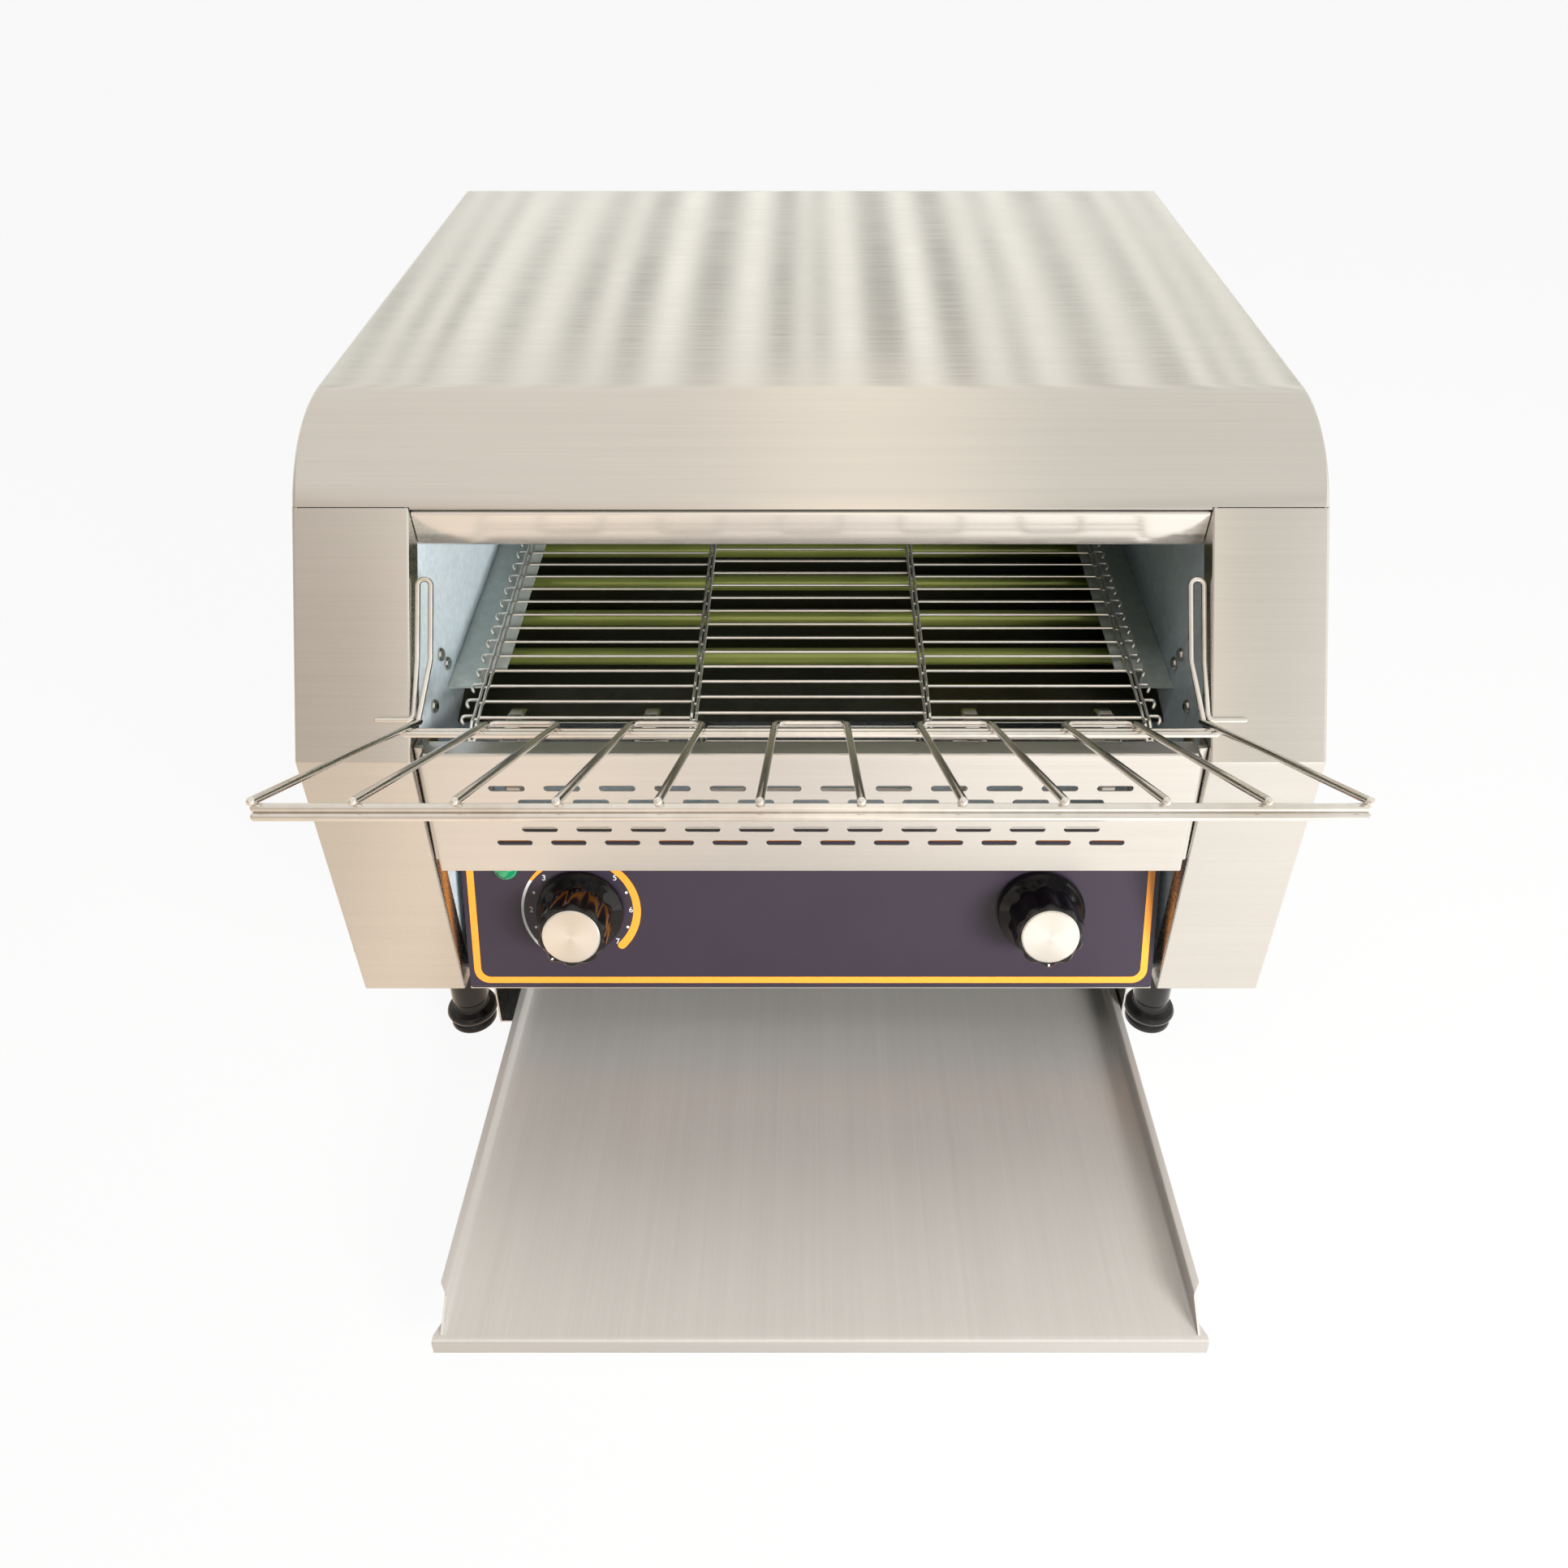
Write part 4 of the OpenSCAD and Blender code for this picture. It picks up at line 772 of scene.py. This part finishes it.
# The dial's angles count from x towards the top
printing = {"line": 3.6, "edge": 2.6, "cornerR": 8, "dialR": 30.7, "thin": 1.2, "middle": 1.5, "wide": 3.4,
            "thick": 4.2, "dialStart": 232, "sweepStart": 146, "sweepEnd": -45, "numbersR": 25.6,
            "firstNumber": 225, "numbers": 7, "numberStep": 45, "numberSize": 4.4, "dotR": 0.75,
            "inkHeight": 0.05}
ink = {"thickness": 0.04, "merge": 1e-4, "sharp": 30}
dialCentre = np.array((-panel["knobX"], panel["knobUp"]))
inkLevel = panel["film"] + printing["inkHeight"]


def panelRectangle(gap, radius, steps=8):  # the film's outline, moved in by a gap
    x, y = body["columnIn"] - film["sideGap"] - gap, film["edgeGap"] + gap
    return roundedRectangle(-x, y, x, panel["height"] - y, radius, steps)


def makeFilm():  # a flat sheet with holes for the knobs' shafts and the lamp
    holes = [circleLoop(-panel["knobX"], panel["knobUp"], film["knobHole"]),
             circleLoop(panel["knobX"], panel["knobUp"], film["knobHole"]),
             circleLoop(panel["lampX"], panel["lampUp"], film["lampHole"])]
    points, faces = plateWithHoles(panelRectangle(0, film["cornerR"], 4), holes)
    return panelPart((atHeight(points, panel["film"]), faces))


def makeOutline():  # the orange line round the panel
    edge, line, radius = printing["edge"], printing["line"], printing["cornerR"]
    return panelPart(ringBand(panelRectangle(edge, radius), panelRectangle(edge + line, radius - line * 0.8),
                              inkLevel))


def dialArc(start, end, places, widths, steps=60):
    # An arc between two angles, as wide as widths says at the places from 0 to 1 along it
    way = np.linspace(0, 1, steps + 1)
    radii = printing["dialR"] - np.stack([np.zeros(steps + 1), np.interp(way, places, widths)])
    return surface(atHeight(dialCentre + radii[..., None] * heading(start + way * (end - start)), inkLevel))


def makeSweep():  # the dial's orange arc, which widens to a round tip
    end, tipR = printing["sweepEnd"], printing["thick"] / 2
    arc = dialArc(printing["sweepStart"], end, (0, 0.35, 1),
                  (printing["middle"], printing["wide"], printing["thick"]))
    tip = disc(dialCentre + (printing["dialR"] - tipR) * heading(end), tipR, inkLevel, 24)
    return panelPart(join(arc, tip))


def makeNumbers():  # numbers round the dial with a dot between each two
    marks = []
    for i in range(printing["numbers"]):
        angle = printing["firstNumber"] - printing["numberStep"] * i
        at = dialCentre + printing["numbersR"] * heading(angle)
        marks.append(textPart(str(i + 1), printing["numberSize"], at, inkLevel))
        if i < printing["numbers"] - 1:
            at = dialCentre + printing["numbersR"] * heading(angle - printing["numberStep"] / 2)
            marks.append(disc(at, printing["dotR"], inkLevel, 16))
    return panelPart(join(*marks))


addPiece("panelFilm", makeFilm(), filmBlack, "cabinet", "overlay", ["panel_overlay"],
         thickness=film["thickness"], sharp=30)
addPiece("printedFrame", makeOutline(), orangeInk, "cabinet", "overlay", **ink)
addPiece("dialSweep", makeSweep(), orangeInk, "cabinet", "overlay", **ink)
addPiece("dialStart", panelPart(dialArc(printing["dialStart"], printing["sweepStart"], (0, 1),
                                        (printing["thin"], printing["middle"]))),
         whiteInk, "cabinet", "overlay", **ink)
addPiece("dialNumbers", makeNumbers(), whiteInk, "cabinet", "overlay", **ink)
print("stage: control panel")

knob = {"skirt": 22.25, "grip": 17.5, "height": 26, "topR": 14.6, "lift": 1.4, "flutes": 10,
        "fluteDepth": 1.5, "fluteFoot": (5.5, 9), "boreR": 3.05, "cap": 14.5, "capTop": 26.75,
        "pointerBump": 0.5, "pointerSpread": 0.11, "pointerW": 0.9, "speedAt": 231, "modeAt": -90}
knobProfile = roundCorners(
    [(knob["topR"], knob["height"] - 0.8), (knob["topR"], knob["height"]), (16.0, knob["height"]),
     (knob["grip"], 24.4), (knob["grip"] + 0.1, 7.4), (20.2, 4.6), (knob["skirt"], 3.0), (knob["skirt"], 0),
     (9, 0), (9, 5), (knob["boreR"], 5), (knob["boreR"], 18), (0, 18)],
    (0.1, 0.8, 1.5, 2.5, 2.5, 1.2, 0.3, 0.2, 0.2, 0.1, 0.1), 5)


def gripShape(a, z, r):
    # Round lobes with hollows between them, from the cosine of the angle times the number of flutes; they
    # fade in over the skirt, and the pointer's lobe stands out
    lobes = 0.5 + 0.5 * np.cos(knob["flutes"] * a)
    hollow = (1 - lobes) ** 1.4 * knob["fluteDepth"]
    low, high = knob["fluteFoot"]
    fade = np.clip((z - low) / (high - low), 0, 1)
    fade = fade * fade * (3 - 2 * fade) * (r > knob["topR"] + 0.1)
    pointer = np.exp(-(np.angle(np.exp(1j * a)) / knob["pointerSpread"]) ** 2) * knob["pointerBump"]
    return 1 - fade * (hollow - pointer) / np.maximum(r, 1)


def onKnob(part, x, angle=0):  # turned to the pointer's angle and put on the panel at x
    return panelPart(moved(turned(part, angle), (x, panel["knobUp"], knob["lift"])))


def makeCap():  # a disc with a low dome and a small rounded edge
    r, top = knob["cap"], knob["capTop"]
    return lathe(roundCorners([(0, top), (r * 0.5, top - 0.03), (r - 0.8, top - 0.25), (r - 0.1, 26.0),
                               (r - 0.1, 25.4), (0, 25.4)], (2, 0.5, 0.2, 0.1), 4), 96)


def makePointer():  # a filled groove along the pointer's lobe and over its front edge
    path = roundCorners([(17.95, 0, 10), (17.95, 0, 24.3), (16.2, 0, 26.02), (15.0, 0, 26.02)], 0.8, 4)
    grid = np.repeat(path[:, None], 2, 1)
    grid[:, :, 1] += (-knob["pointerW"] / 2, knob["pointerW"] / 2)
    return surface(grid)


for name, x, angle in (("speed", -panel["knobX"], knob["speedAt"]), ("mode", panel["knobX"], knob["modeAt"])):
    addPiece(name + "Grip", onKnob(lathe(knobProfile, 160, gripShape), x, angle), blackGloss, name,
             "black_plastic", [name + "_knob"], sharp=50)
    centre = toFrame(onPanel([(x, panel["knobUp"], knob["lift"] + knob["height"])])[0])
    addPiece(name + "Cap", onKnob(makeCap(), x), spunAluminium(name + "CapSpun", centre), name, "aluminium",
             [name + "_knob_cap"], sharp=40)
    addPiece(name + "Pointer", onKnob(makePointer(), x, angle), whiteInk, name, "black_plastic",
             thickness=-0.08)

lamp = {"r": 6, "rim": 1.1, "domeR": 5.2, "dome": 5.6, "lift": 0.6, "facets": 8, "facetDepth": 0.8}


def facets(a, z, r):  # flats round the dome: cosine of half a flat over cosine of the angle from its middle
    half = np.pi / lamp["facets"]
    flat = np.cos(half) / np.cos(a % (2 * half) - half)
    return np.where((z > lamp["rim"] + 0.1) & (r > 0.1), 1 - (1 - flat) * lamp["facetDepth"], 1)


def makeLens():  # a low dome on a round rim
    r, rim, dome = lamp["r"], lamp["rim"], lamp["dome"]
    profile = roundCorners([(0, dome), (2.6, 5.3), (4.6, 3.4), (lamp["domeR"], rim + 0.2), (r, rim), (r, 0),
                            (0, 0)], (1, 1.5, 1, 0.2, 0.2), 4)
    return panelPart(moved(lathe(profile, 64, facets),
                           (panel["lampX"], panel["lampUp"], panel["film"] + lamp["lift"])))


addPiece("lampDome", makeLens(), lampGreen, "cabinet", "lamp_green", ["lamp_lens"], sharp=30)
print("stage: knobs and lamp")

# kink and crown are the hook's two bends: height, and distance back from the columns' face
rack = {"wire": 3, "pitch": 32, "length": 162, "rise": 25.8, "back": (4.6, 173.1), "bendR": 5, "loops": 5,
        "loopStart": 4, "sideStart": -2, "tip": 0.5, "barDrop": 2.6, "bars": (9, 17), "frontBar": 3,
        "frontDrop": (2.6, 5.4), "hook": 2.5, "hookGap": 0.7, "hookLoop": 6, "hookFoot": 172,
        "hookClear": 0.3, "kink": (192.8, 4.5), "crown": (224.5, 6.5), "hookR": (3, 8, 3, 3, 8)}


def onRack(points):  # x, distance along the slope and height over the rods, in drawing coordinates
    return sloped(points, rack["back"], 180 - rack["rise"], -1)


def makeRack():
    # Two side rods, pairs of rods bent from one wire, cross bars under them, and a hook at each side
    half, reach, r = rack["pitch"] * (rack["loops"] + 0.5), rack["length"], rack["wire"] / 2
    rodEnd, start = reach - rack["tip"], rack["loopStart"]
    paths = [[(x, rack["sideStart"], 0), (x, rodEnd, 0)] for x in (-half, half)]
    for i in range(rack["loops"]):
        a = (2 * i + 0.5 - rack["loops"]) * rack["pitch"]
        b = a + rack["pitch"]
        paths.append(roundCorners([(a, rodEnd, 0), (a, start, 0), (b, start, 0), (b, rodEnd, 0)],
                                  rack["bendR"], 8))
    bars = [(along, rack["barDrop"]) for along in rack["bars"]]
    bars += [(reach - rack["frontBar"], drop) for drop in rack["frontDrop"]]
    paths += [[(-half, along, -drop), (half, along, -drop)] for along, drop in bars]
    parts = [tube(onRack(path), r, 16, 4) for path in paths]
    hookR, z = rack["hook"] / 2, rack["hookFoot"]
    x = body["columnIn"] - rack["hookGap"] - hookR
    rest = (x, faceAt(z) - (hookR + rack["hookClear"]) / math.cos(math.radians(body["faceLean"])), z)
    kink, crown = [np.array((x, faceAt(h) + back, h)) for h, back in (rack["kink"], rack["crown"])]
    turn = np.array((rack["hookLoop"], 0, 0))
    tail = rest + turn * 3 - (hookR, 0, 0)
    hook = tube(roundCorners([tail, rest, kink, crown, crown - turn, kink - turn, (half, *rack["back"])],
                             rack["hookR"], 8), hookR, 14, 4)
    return join(*parts, hook, mirrored(hook))


addPiece("rackWires", makeRack(), rackWire, "rack", "wire", ["loading_rack"], sharp=60)

belt = {"wire": 1.6, "pitch": 11.43, "teeth": 12, "rise": 7.7, "axleY": 30, "axleH": 138.4, "halfW": 164.5,
        "drop": 104, "step": 3.4, "loop": 2.3, "reach": 1.5, "edge": 7.5, "bendR": 1.1, "sides": 8}
belt["r"] = belt["pitch"] / (2 * math.sin(math.pi / belt["teeth"]))
beltLinks = math.floor((body["depth"] - belt["drop"] - belt["axleY"])
                       / (belt["pitch"] * math.cos(math.radians(belt["rise"]))))
beltCount = 2 * (beltLinks + belt["teeth"] // 2)


def onBelt(points):  # x, distance along the belt and height over the axles, in drawing coordinates
    return sloped(points, (belt["axleY"], belt["axleH"]), belt["rise"])


def beltTrack(u):
    # The place at a distance u round the belt, and the way out of it. The belt goes forward over the top
    # run, half a turn round the far axle, back under it and half a turn round the near one. The way out
    # turns by the share of each half turn that is done, and the place lies r along it from the axles' line
    run, turn = beltLinks * belt["pitch"], belt["teeth"] // 2 * belt["pitch"]
    u = np.mod(u, 2 * (run + turn))
    a = np.pi * (np.clip((u - run) / turn, 0, 1) + np.clip((u - 2 * run - turn) / turn, 0, 1))
    axis = np.clip(u, 0, run) - np.clip(u - run - turn, 0, run)
    outward = np.stack([np.sin(a), np.cos(a)], -1)
    return np.stack([axis, np.zeros(len(u))], -1) + belt["r"] * outward, outward


def beltWireShape():
    # Half of one bent wire: x, distance back along the belt, height. Long loops reach forward over the next
    # wire at each link line, and the run behind a link line lies a step further back.
    w, p, r, step = belt["wire"], belt["pitch"], belt["loop"] / 2, belt["step"]
    link, edge, end = belt["halfW"] / 3, belt["halfW"] - belt["edge"], belt["halfW"] - w / 2
    reach, foot = -p - belt["reach"], step * 0.3
    return [(0, step, 0), (link - r, step, 0), (link - r, foot, w * 0.55), (link - r, reach + step, w * 0.7),
            (link - r, reach, -w * 0.2), (link + r, reach, -w * 0.2), (link + r, reach + step, w * 0.5),
            (link + r, 0, 0), (edge - r, 0, 0), (edge - r, -p * 0.45, w * 0.75), (edge - r, reach, w * 0.1),
            (edge + r, reach, w * 0.1), (edge + r, -p * 0.3, w * 0.75), (edge + r, foot, w * 0.1),
            (end, foot, 0), (end, -p * 0.16, -w * 0.2), (end - w / 2, -p * 0.24, -w * 0.9)]


def makeBelt():  # one bent wire for each link, with every point carried round the track
    half = np.array(beltWireShape(), float)
    path = roundCorners(np.concatenate([(half * (-1, 1, 1))[:0:-1], half]), belt["bendR"], 3)
    parts = []
    for i in range(beltCount):
        place, outward = beltTrack(i * belt["pitch"] + path[:, 1])
        at = place + outward * path[:, 2:]
        parts.append(tube(onBelt(np.column_stack([path[:, 0], at])), belt["wire"] / 2, belt["sides"], 2))
    return join(*parts)


addPiece("beltWires", makeBelt(), beltWire, "cabinet", "belt_wire", ["conveyor_belt"], merge=1e-4,
         outward=False, sharp=60)
print("stage: rack and belt")

# The last entry is how far back from the lip's front face the painted shade reaches
tray = {"width": 330, "length": 496, "out": 151, "wall": 10, "wallX": 161, "lip": 8, "lipReturn": 2.6,
        "floor": -39, "shift": 4, "taper": 15, "flatFront": 3.2, "corner": 12.5, "bendR": 1.6,
        "end": (1.4, 0.6), "paintedShadeDepth": 0.3}


def makeTray():
    # A trough with flanged walls, which taper down to the floor at the front; the sheet goes on as a
    # turned-down lip
    w, x, out, back = tray["width"] / 2, tray["wallX"], -tray["out"], tray["length"] - tray["out"]
    top, taperY, flatY, r = tray["wall"], tray["taper"] - tray["out"], out + tray["flatFront"], tray["bendR"]
    section = roundCorners([(-w, top), (-x, top), (-x, 1), (x, 1), (x, top), (w, top)], (1.0, r, r, 1.0), 5)
    trough = np.zeros((2, len(section), 3))
    trough[:, :, (0, 2)] = section
    trough[0, :, 1] = taperY + np.clip(abs(section[:, 0]) - x, 0, w - x) * 1.5  # flanges start further back
    trough[1, :, 1] = back
    walls = roundCorners([(-x, top), (-x, 1), (x, 1), (x, top)], r, 5)
    slope = np.zeros((2, len(walls), 3))
    slope[:, :, (0, 2)] = walls
    slope[0, :, 1], slope[1, :, 1] = flatY, taperY
    slope[0, :, 2] = 1 + (slope[0, :, 2] - 1) * 0.02  # nearly flat in front
    under = 1 - tray["lip"]
    front = strip(roundCorners([(flatY, 1), (out, 1), (out, under), (out + tray["lipReturn"], under)],
                               (r, 0.7), 5), w, -w)
    # The floor widens from the walls to the full width of the lip
    corner = (np.array([(x, flatY, 1), (w, flatY, 1), (x, out + tray["corner"], 1)]), [[0, 1, 2]])
    up, aside = tray["end"]
    end = strip([(back, up), (back, top)], -x + aside, x - aside)
    at = (tray["shift"], 0, tray["floor"])
    return moved(join(surface(trough), surface(slope), front, corner, mirrored(corner)), at), moved(end, at)


# Shade is painted on the front face of the tray's lip: its colour darkens there
traySteel = brushedSteel("traySteel", "y", colour=(0.62, 0.605, 0.585), rough=0.42, grain=0.2, vary=0.07,
                         metal=0.55, paintedShadeFront=toFrame((0, tray["paintedShadeDepth"] - tray["out"], 0))[1])
troughPart, endPart = makeTray()
addPiece("traySheet", troughPart, traySteel, "tray", "steel", ["toast_tray"], outward=False, thickness=0.9,
         bevel=0.15, sharp=45)
addPiece("trayEnd", endPart, traySteel, "tray", "steel", thickness=1, bevel=0.15)

feet = {"x": 192.3, "y": {"front": 44, "rear": 375}, "side": {"left": -1, "right": 1}, "boltR": 4,
        "boltTop": 71.3, "nutR": 7, "nut": (61.6, 67.6)}
padProfile = roundCorners([(0, 0), (11, 0), (12.6, 1.4), (12.2, 3.8), (10.4, 5.2), (10.6, 6.2), (13.2, 7.4),
                           (14, 9.5), (13.0, 11.6), (9.2, 13.2), (9, 17.7), (feet["boltR"], 17.7),
                           (feet["boltR"], 35.7), (0, 35.7)],
                          (0.4, 1.0, 1.2, 0.8, 0.8, 1.4, 1.6, 1.6, 1.2, 0.5, 0.1, 0.3), 4)
stemProfile = roundCorners([(4.05, 38.6), (4.05, 18), (9, 18), (10, 19.2), (10, 54.6), (9, 56), (9, 60),
                            (0, 60)], (0.1, 0.3, 0.6, 0.8, 0.6, 0.2), 4)
boltProfile = [(feet["boltR"], 60), (feet["boltR"], feet["boltTop"]), (0, feet["boltTop"])]
nutProfile = [(0, feet["nut"][0]), (feet["nutR"], feet["nut"][0]), (feet["nutR"], feet["nut"][1]),
              (0, feet["nut"][1])]
stems = []
for row, y in feet["y"].items():
    for side, sign in feet["side"].items():
        at = (sign * feet["x"], y, -body["footH"])
        addPiece(row + side + "Pad", moved(lathe(padProfile, 64), at), footRubber, f"foot_{row}_{side}",
                 "rubber", [f"{row}_{side}_pad"], sharp=50)
        stems += [moved(lathe(profile, sides), at)
                  for profile, sides in ((stemProfile, 64), (boltProfile, 32), (nutProfile, 6))]
addPiece("footStems", join(*stems), footRubber, "cabinet", "black_plastic", ["foot_stems"], sharp=40)
print("stage: tray and feet")

# Plain CAD shapes: some take softened edges, the rest only a finish
refined = [(sideSteel, ["left_side_panel", "right_side_panel"]), (rearSteel, ["rear_panel"]),
           (columnSteel, ["control_panel"]), (plateZinc, ["base_plate"]), (sideSteel, ["tray_runners"]),
           (chuteSteel, ["toast_chute"])]
painted = [(wallZinc, ["left_inner_wall", "right_inner_wall", "upper_reflector", "heat_shield"]),
           (hotZinc, ["lower_reflector"]), (heaterTube, ["upper_heaters", "lower_heaters"]),
           (ceramic, ["heater_caps"]), (railSteel, ["left_belt_rail", "right_belt_rail"]),
           (bronze, ["shaft_bushes"]), (motorPaint, ["gear_motor"]), (terminalPlastic, ["terminal_block"]),
           (shaftSteel, ["drive_shaft", "drive_sprockets", "idler_shaft", "idler_rollers", "speed_spindle",
                         "mode_spindle", "case_screws", "wall_screws"]),
           (plateZinc, ["motor_spacers", "speed_control"]),
           (darkPlastic, ["fan_frame", "fan_rotor", "mode_switch", "lamp_body", "cable_gland"])]
for give, rows in ((refine, refined), (paint, painted)):
    for finish, nodes in rows:
        for node in nodes:
            give(node, finish)
print("stage: remaining nodes")

studio = {"floorSize": 20, "floor": (0.80, 0.80, 0.795), "floorWhite": 0.93, "floorMirror": 0.75,
          "keyPower": 58, "topPower": 10, "worldLight": 0.15, "left": (0.86, 0.77, 0.68),
          "middle": (1.52, 1.34, 1.15), "right": (1.04, 1.0, 0.93), "ceiling": (1.10, 1.06, 0.99),
          "foldRise": 1.42, "foldStart": 0.455, "pleats": 137, "curtainDark": (0.53, 0.52, 0.48),
          "curtainPale": (1.50, 1.48, 1.39)}


def makeFloor():
    # Diffuse for light and shadow, nearly white for the camera; mirrored it is warm on the left and pale
    # on the right
    finish = Finish("floorPaper", Roughness=0.9)
    finish.set(Base_Color=finish.blend(finish.noise(2), shade(studio["floor"], 0.985), studio["floor"]))
    x = finish.axes(finish.here())[0]
    warm = (1.12, 0.92, 0.72)
    mirrorColour = finish.ramp(x * 1.25 + 0.5, [
        (0.0, warm), (0.08, warm), (0.22, (1.42, 1.16, 0.92)), (0.45, (1.06, 0.94, 0.83)),
        (0.72, (1.50, 1.41, 1.31)), (1.0, (1.56, 1.48, 1.40))])
    cameraRay, mirrorRay = finish.rays()
    white = finish.node("ShaderNodeEmission", {}, {"Color": (1, 1, 1, 1), "Strength": 1.0})
    shine = finish.node("ShaderNodeEmission", {}, {"Color": mirrorColour, "Strength": 1.0})
    paper = Value(finish, finish.shader.outputs[0])
    seen = finish.node("ShaderNodeMixShader", {}, {0: cameraRay * studio["floorWhite"], 1: paper, 2: white})
    mixed = finish.node("ShaderNodeMixShader", {}, {0: mirrorRay * studio["floorMirror"], 1: seen, 2: shine})
    finish.show(mixed)
    corner = studio["floorSize"]
    mesh = bpy.data.meshes.new("floor")
    mesh.from_pydata([(x * corner, y * corner, 0) for x, y in ((-1, -1), (1, -1), (1, 1), (-1, 1))], [],
                     [(0, 1, 2, 3)])
    mesh.materials.append(finish.material)
    newObject("floor", mesh)


class Room(Finish):  # the world's tree, which has no shader of its own
    def __init__(self, world):
        world.use_nodes = True
        self.tree = world.node_tree
        self.tree.nodes.remove(self.tree.nodes["Background"])

    def light(self, colour, strength=1.0):  # an even glow of one colour or of a socket's colours
        colour = colour if isinstance(colour, Value) else (*colour, 1)
        return self.node("ShaderNodeBackground", {}, {"Color": colour, "Strength": strength})


def makeWorld():
    # Mirrored rays see a room: in front it is dim on the left and warm in the middle, and behind hangs a
    # pale curtain. Its folds are a sine of pleats * x / (foldStart + foldRise * z), pushed about by a
    # slow noise
    world = bpy.data.worlds.new("studio")
    bpy.context.scene.world = world
    room = Room(world)
    x, y, z = room.axes(room.node("ShaderNodeTexCoord", output="Generated"))
    front = room.ramp(x * 0.5 + 0.5, [
        (0.0, (0.55, 0.50, 0.45)), (0.30, studio["left"]), (0.44, (1.0, 0.90, 0.80)),
        (0.52, studio["middle"]), (0.62, (1.0, 0.95, 0.86)), (0.72, studio["right"]),
        (0.84, (1.3, 1.27, 1.2)), (1.0, (1.5, 1.47, 1.4))])
    fold = x / (z * studio["foldRise"] + studio["foldStart"])
    wide = room.noiseAlong(fold, 9.0, 1.5, 0.6)
    fine = room.noiseAlong(fold + 4.0, 42.0, 1.0)
    pleat = (fold * studio["pleats"] + wide * 6.0).math("SINE")
    stripes = room.spread(pleat * 0.3 + fine * 0.7 + 0.15, 0.1, 0.9, 0.0, 1.0)
    curtain = room.blend(stripes, studio["curtainDark"], studio["curtainPale"])
    raised, lowered = room.spread(z, 0.42, 0.54, 0.0, 1.0), room.spread(z, 0.42, 0.54, 1.0, 0.0)
    front = room.blend(raised * room.spread(x, 0.1, 0.3, 0.0, 0.8), front, (0.80, 0.77, 0.70))
    front = room.blend(lowered * room.spread(x, -0.3, -0.1, 0.7, 0.0), front, (0.72, 0.63, 0.55))
    around = room.blend(room.spread(y, -0.1, 0.2, 0.0, 1.0), front, curtain)
    above = room.spread(z, 0.45, 0.64, 0.0, 1.0)
    roomColour = room.blend(above, around, room.blend(0.45, studio["ceiling"], front))
    cameraRay, mirrorRay = room.rays()
    lit = room.light((1.0, 0.985, 0.96), studio["worldLight"])
    first = room.node("ShaderNodeMixShader", {}, {0: mirrorRay, 1: lit, 2: room.light(roomColour)})
    room.show(room.node("ShaderNodeMixShader", {}, {0: cameraRay, 1: first, 2: room.light((1, 1, 1))}))


def softbox(name, at, aim, size, power):  # a rectangular lamp that faces aim and is not mirrored
    data = bpy.data.lights.new(name, "AREA")
    data.shape = "RECTANGLE"
    data.size, data.size_y = size
    data.energy = power
    data.color = (1, 0.98, 0.95)
    box = newObject(name, data)
    box.location = at
    box.rotation_euler = Vector(np.subtract(aim, at)).to_track_quat("-Z", "Y").to_euler()
    box.visible_glossy = False


makeFloor()
makeWorld()
softbox("keyRight", (1.0, -1.35, 0.62), (-0.15, 0.05, 0.22), (0.7, 0.5), studio["keyPower"])
softbox("topSoft", (-0.1, -0.5, 2.0), (0, 0, 0.2), (1.2, 1.0), studio["topPower"])
print("stage: studio")
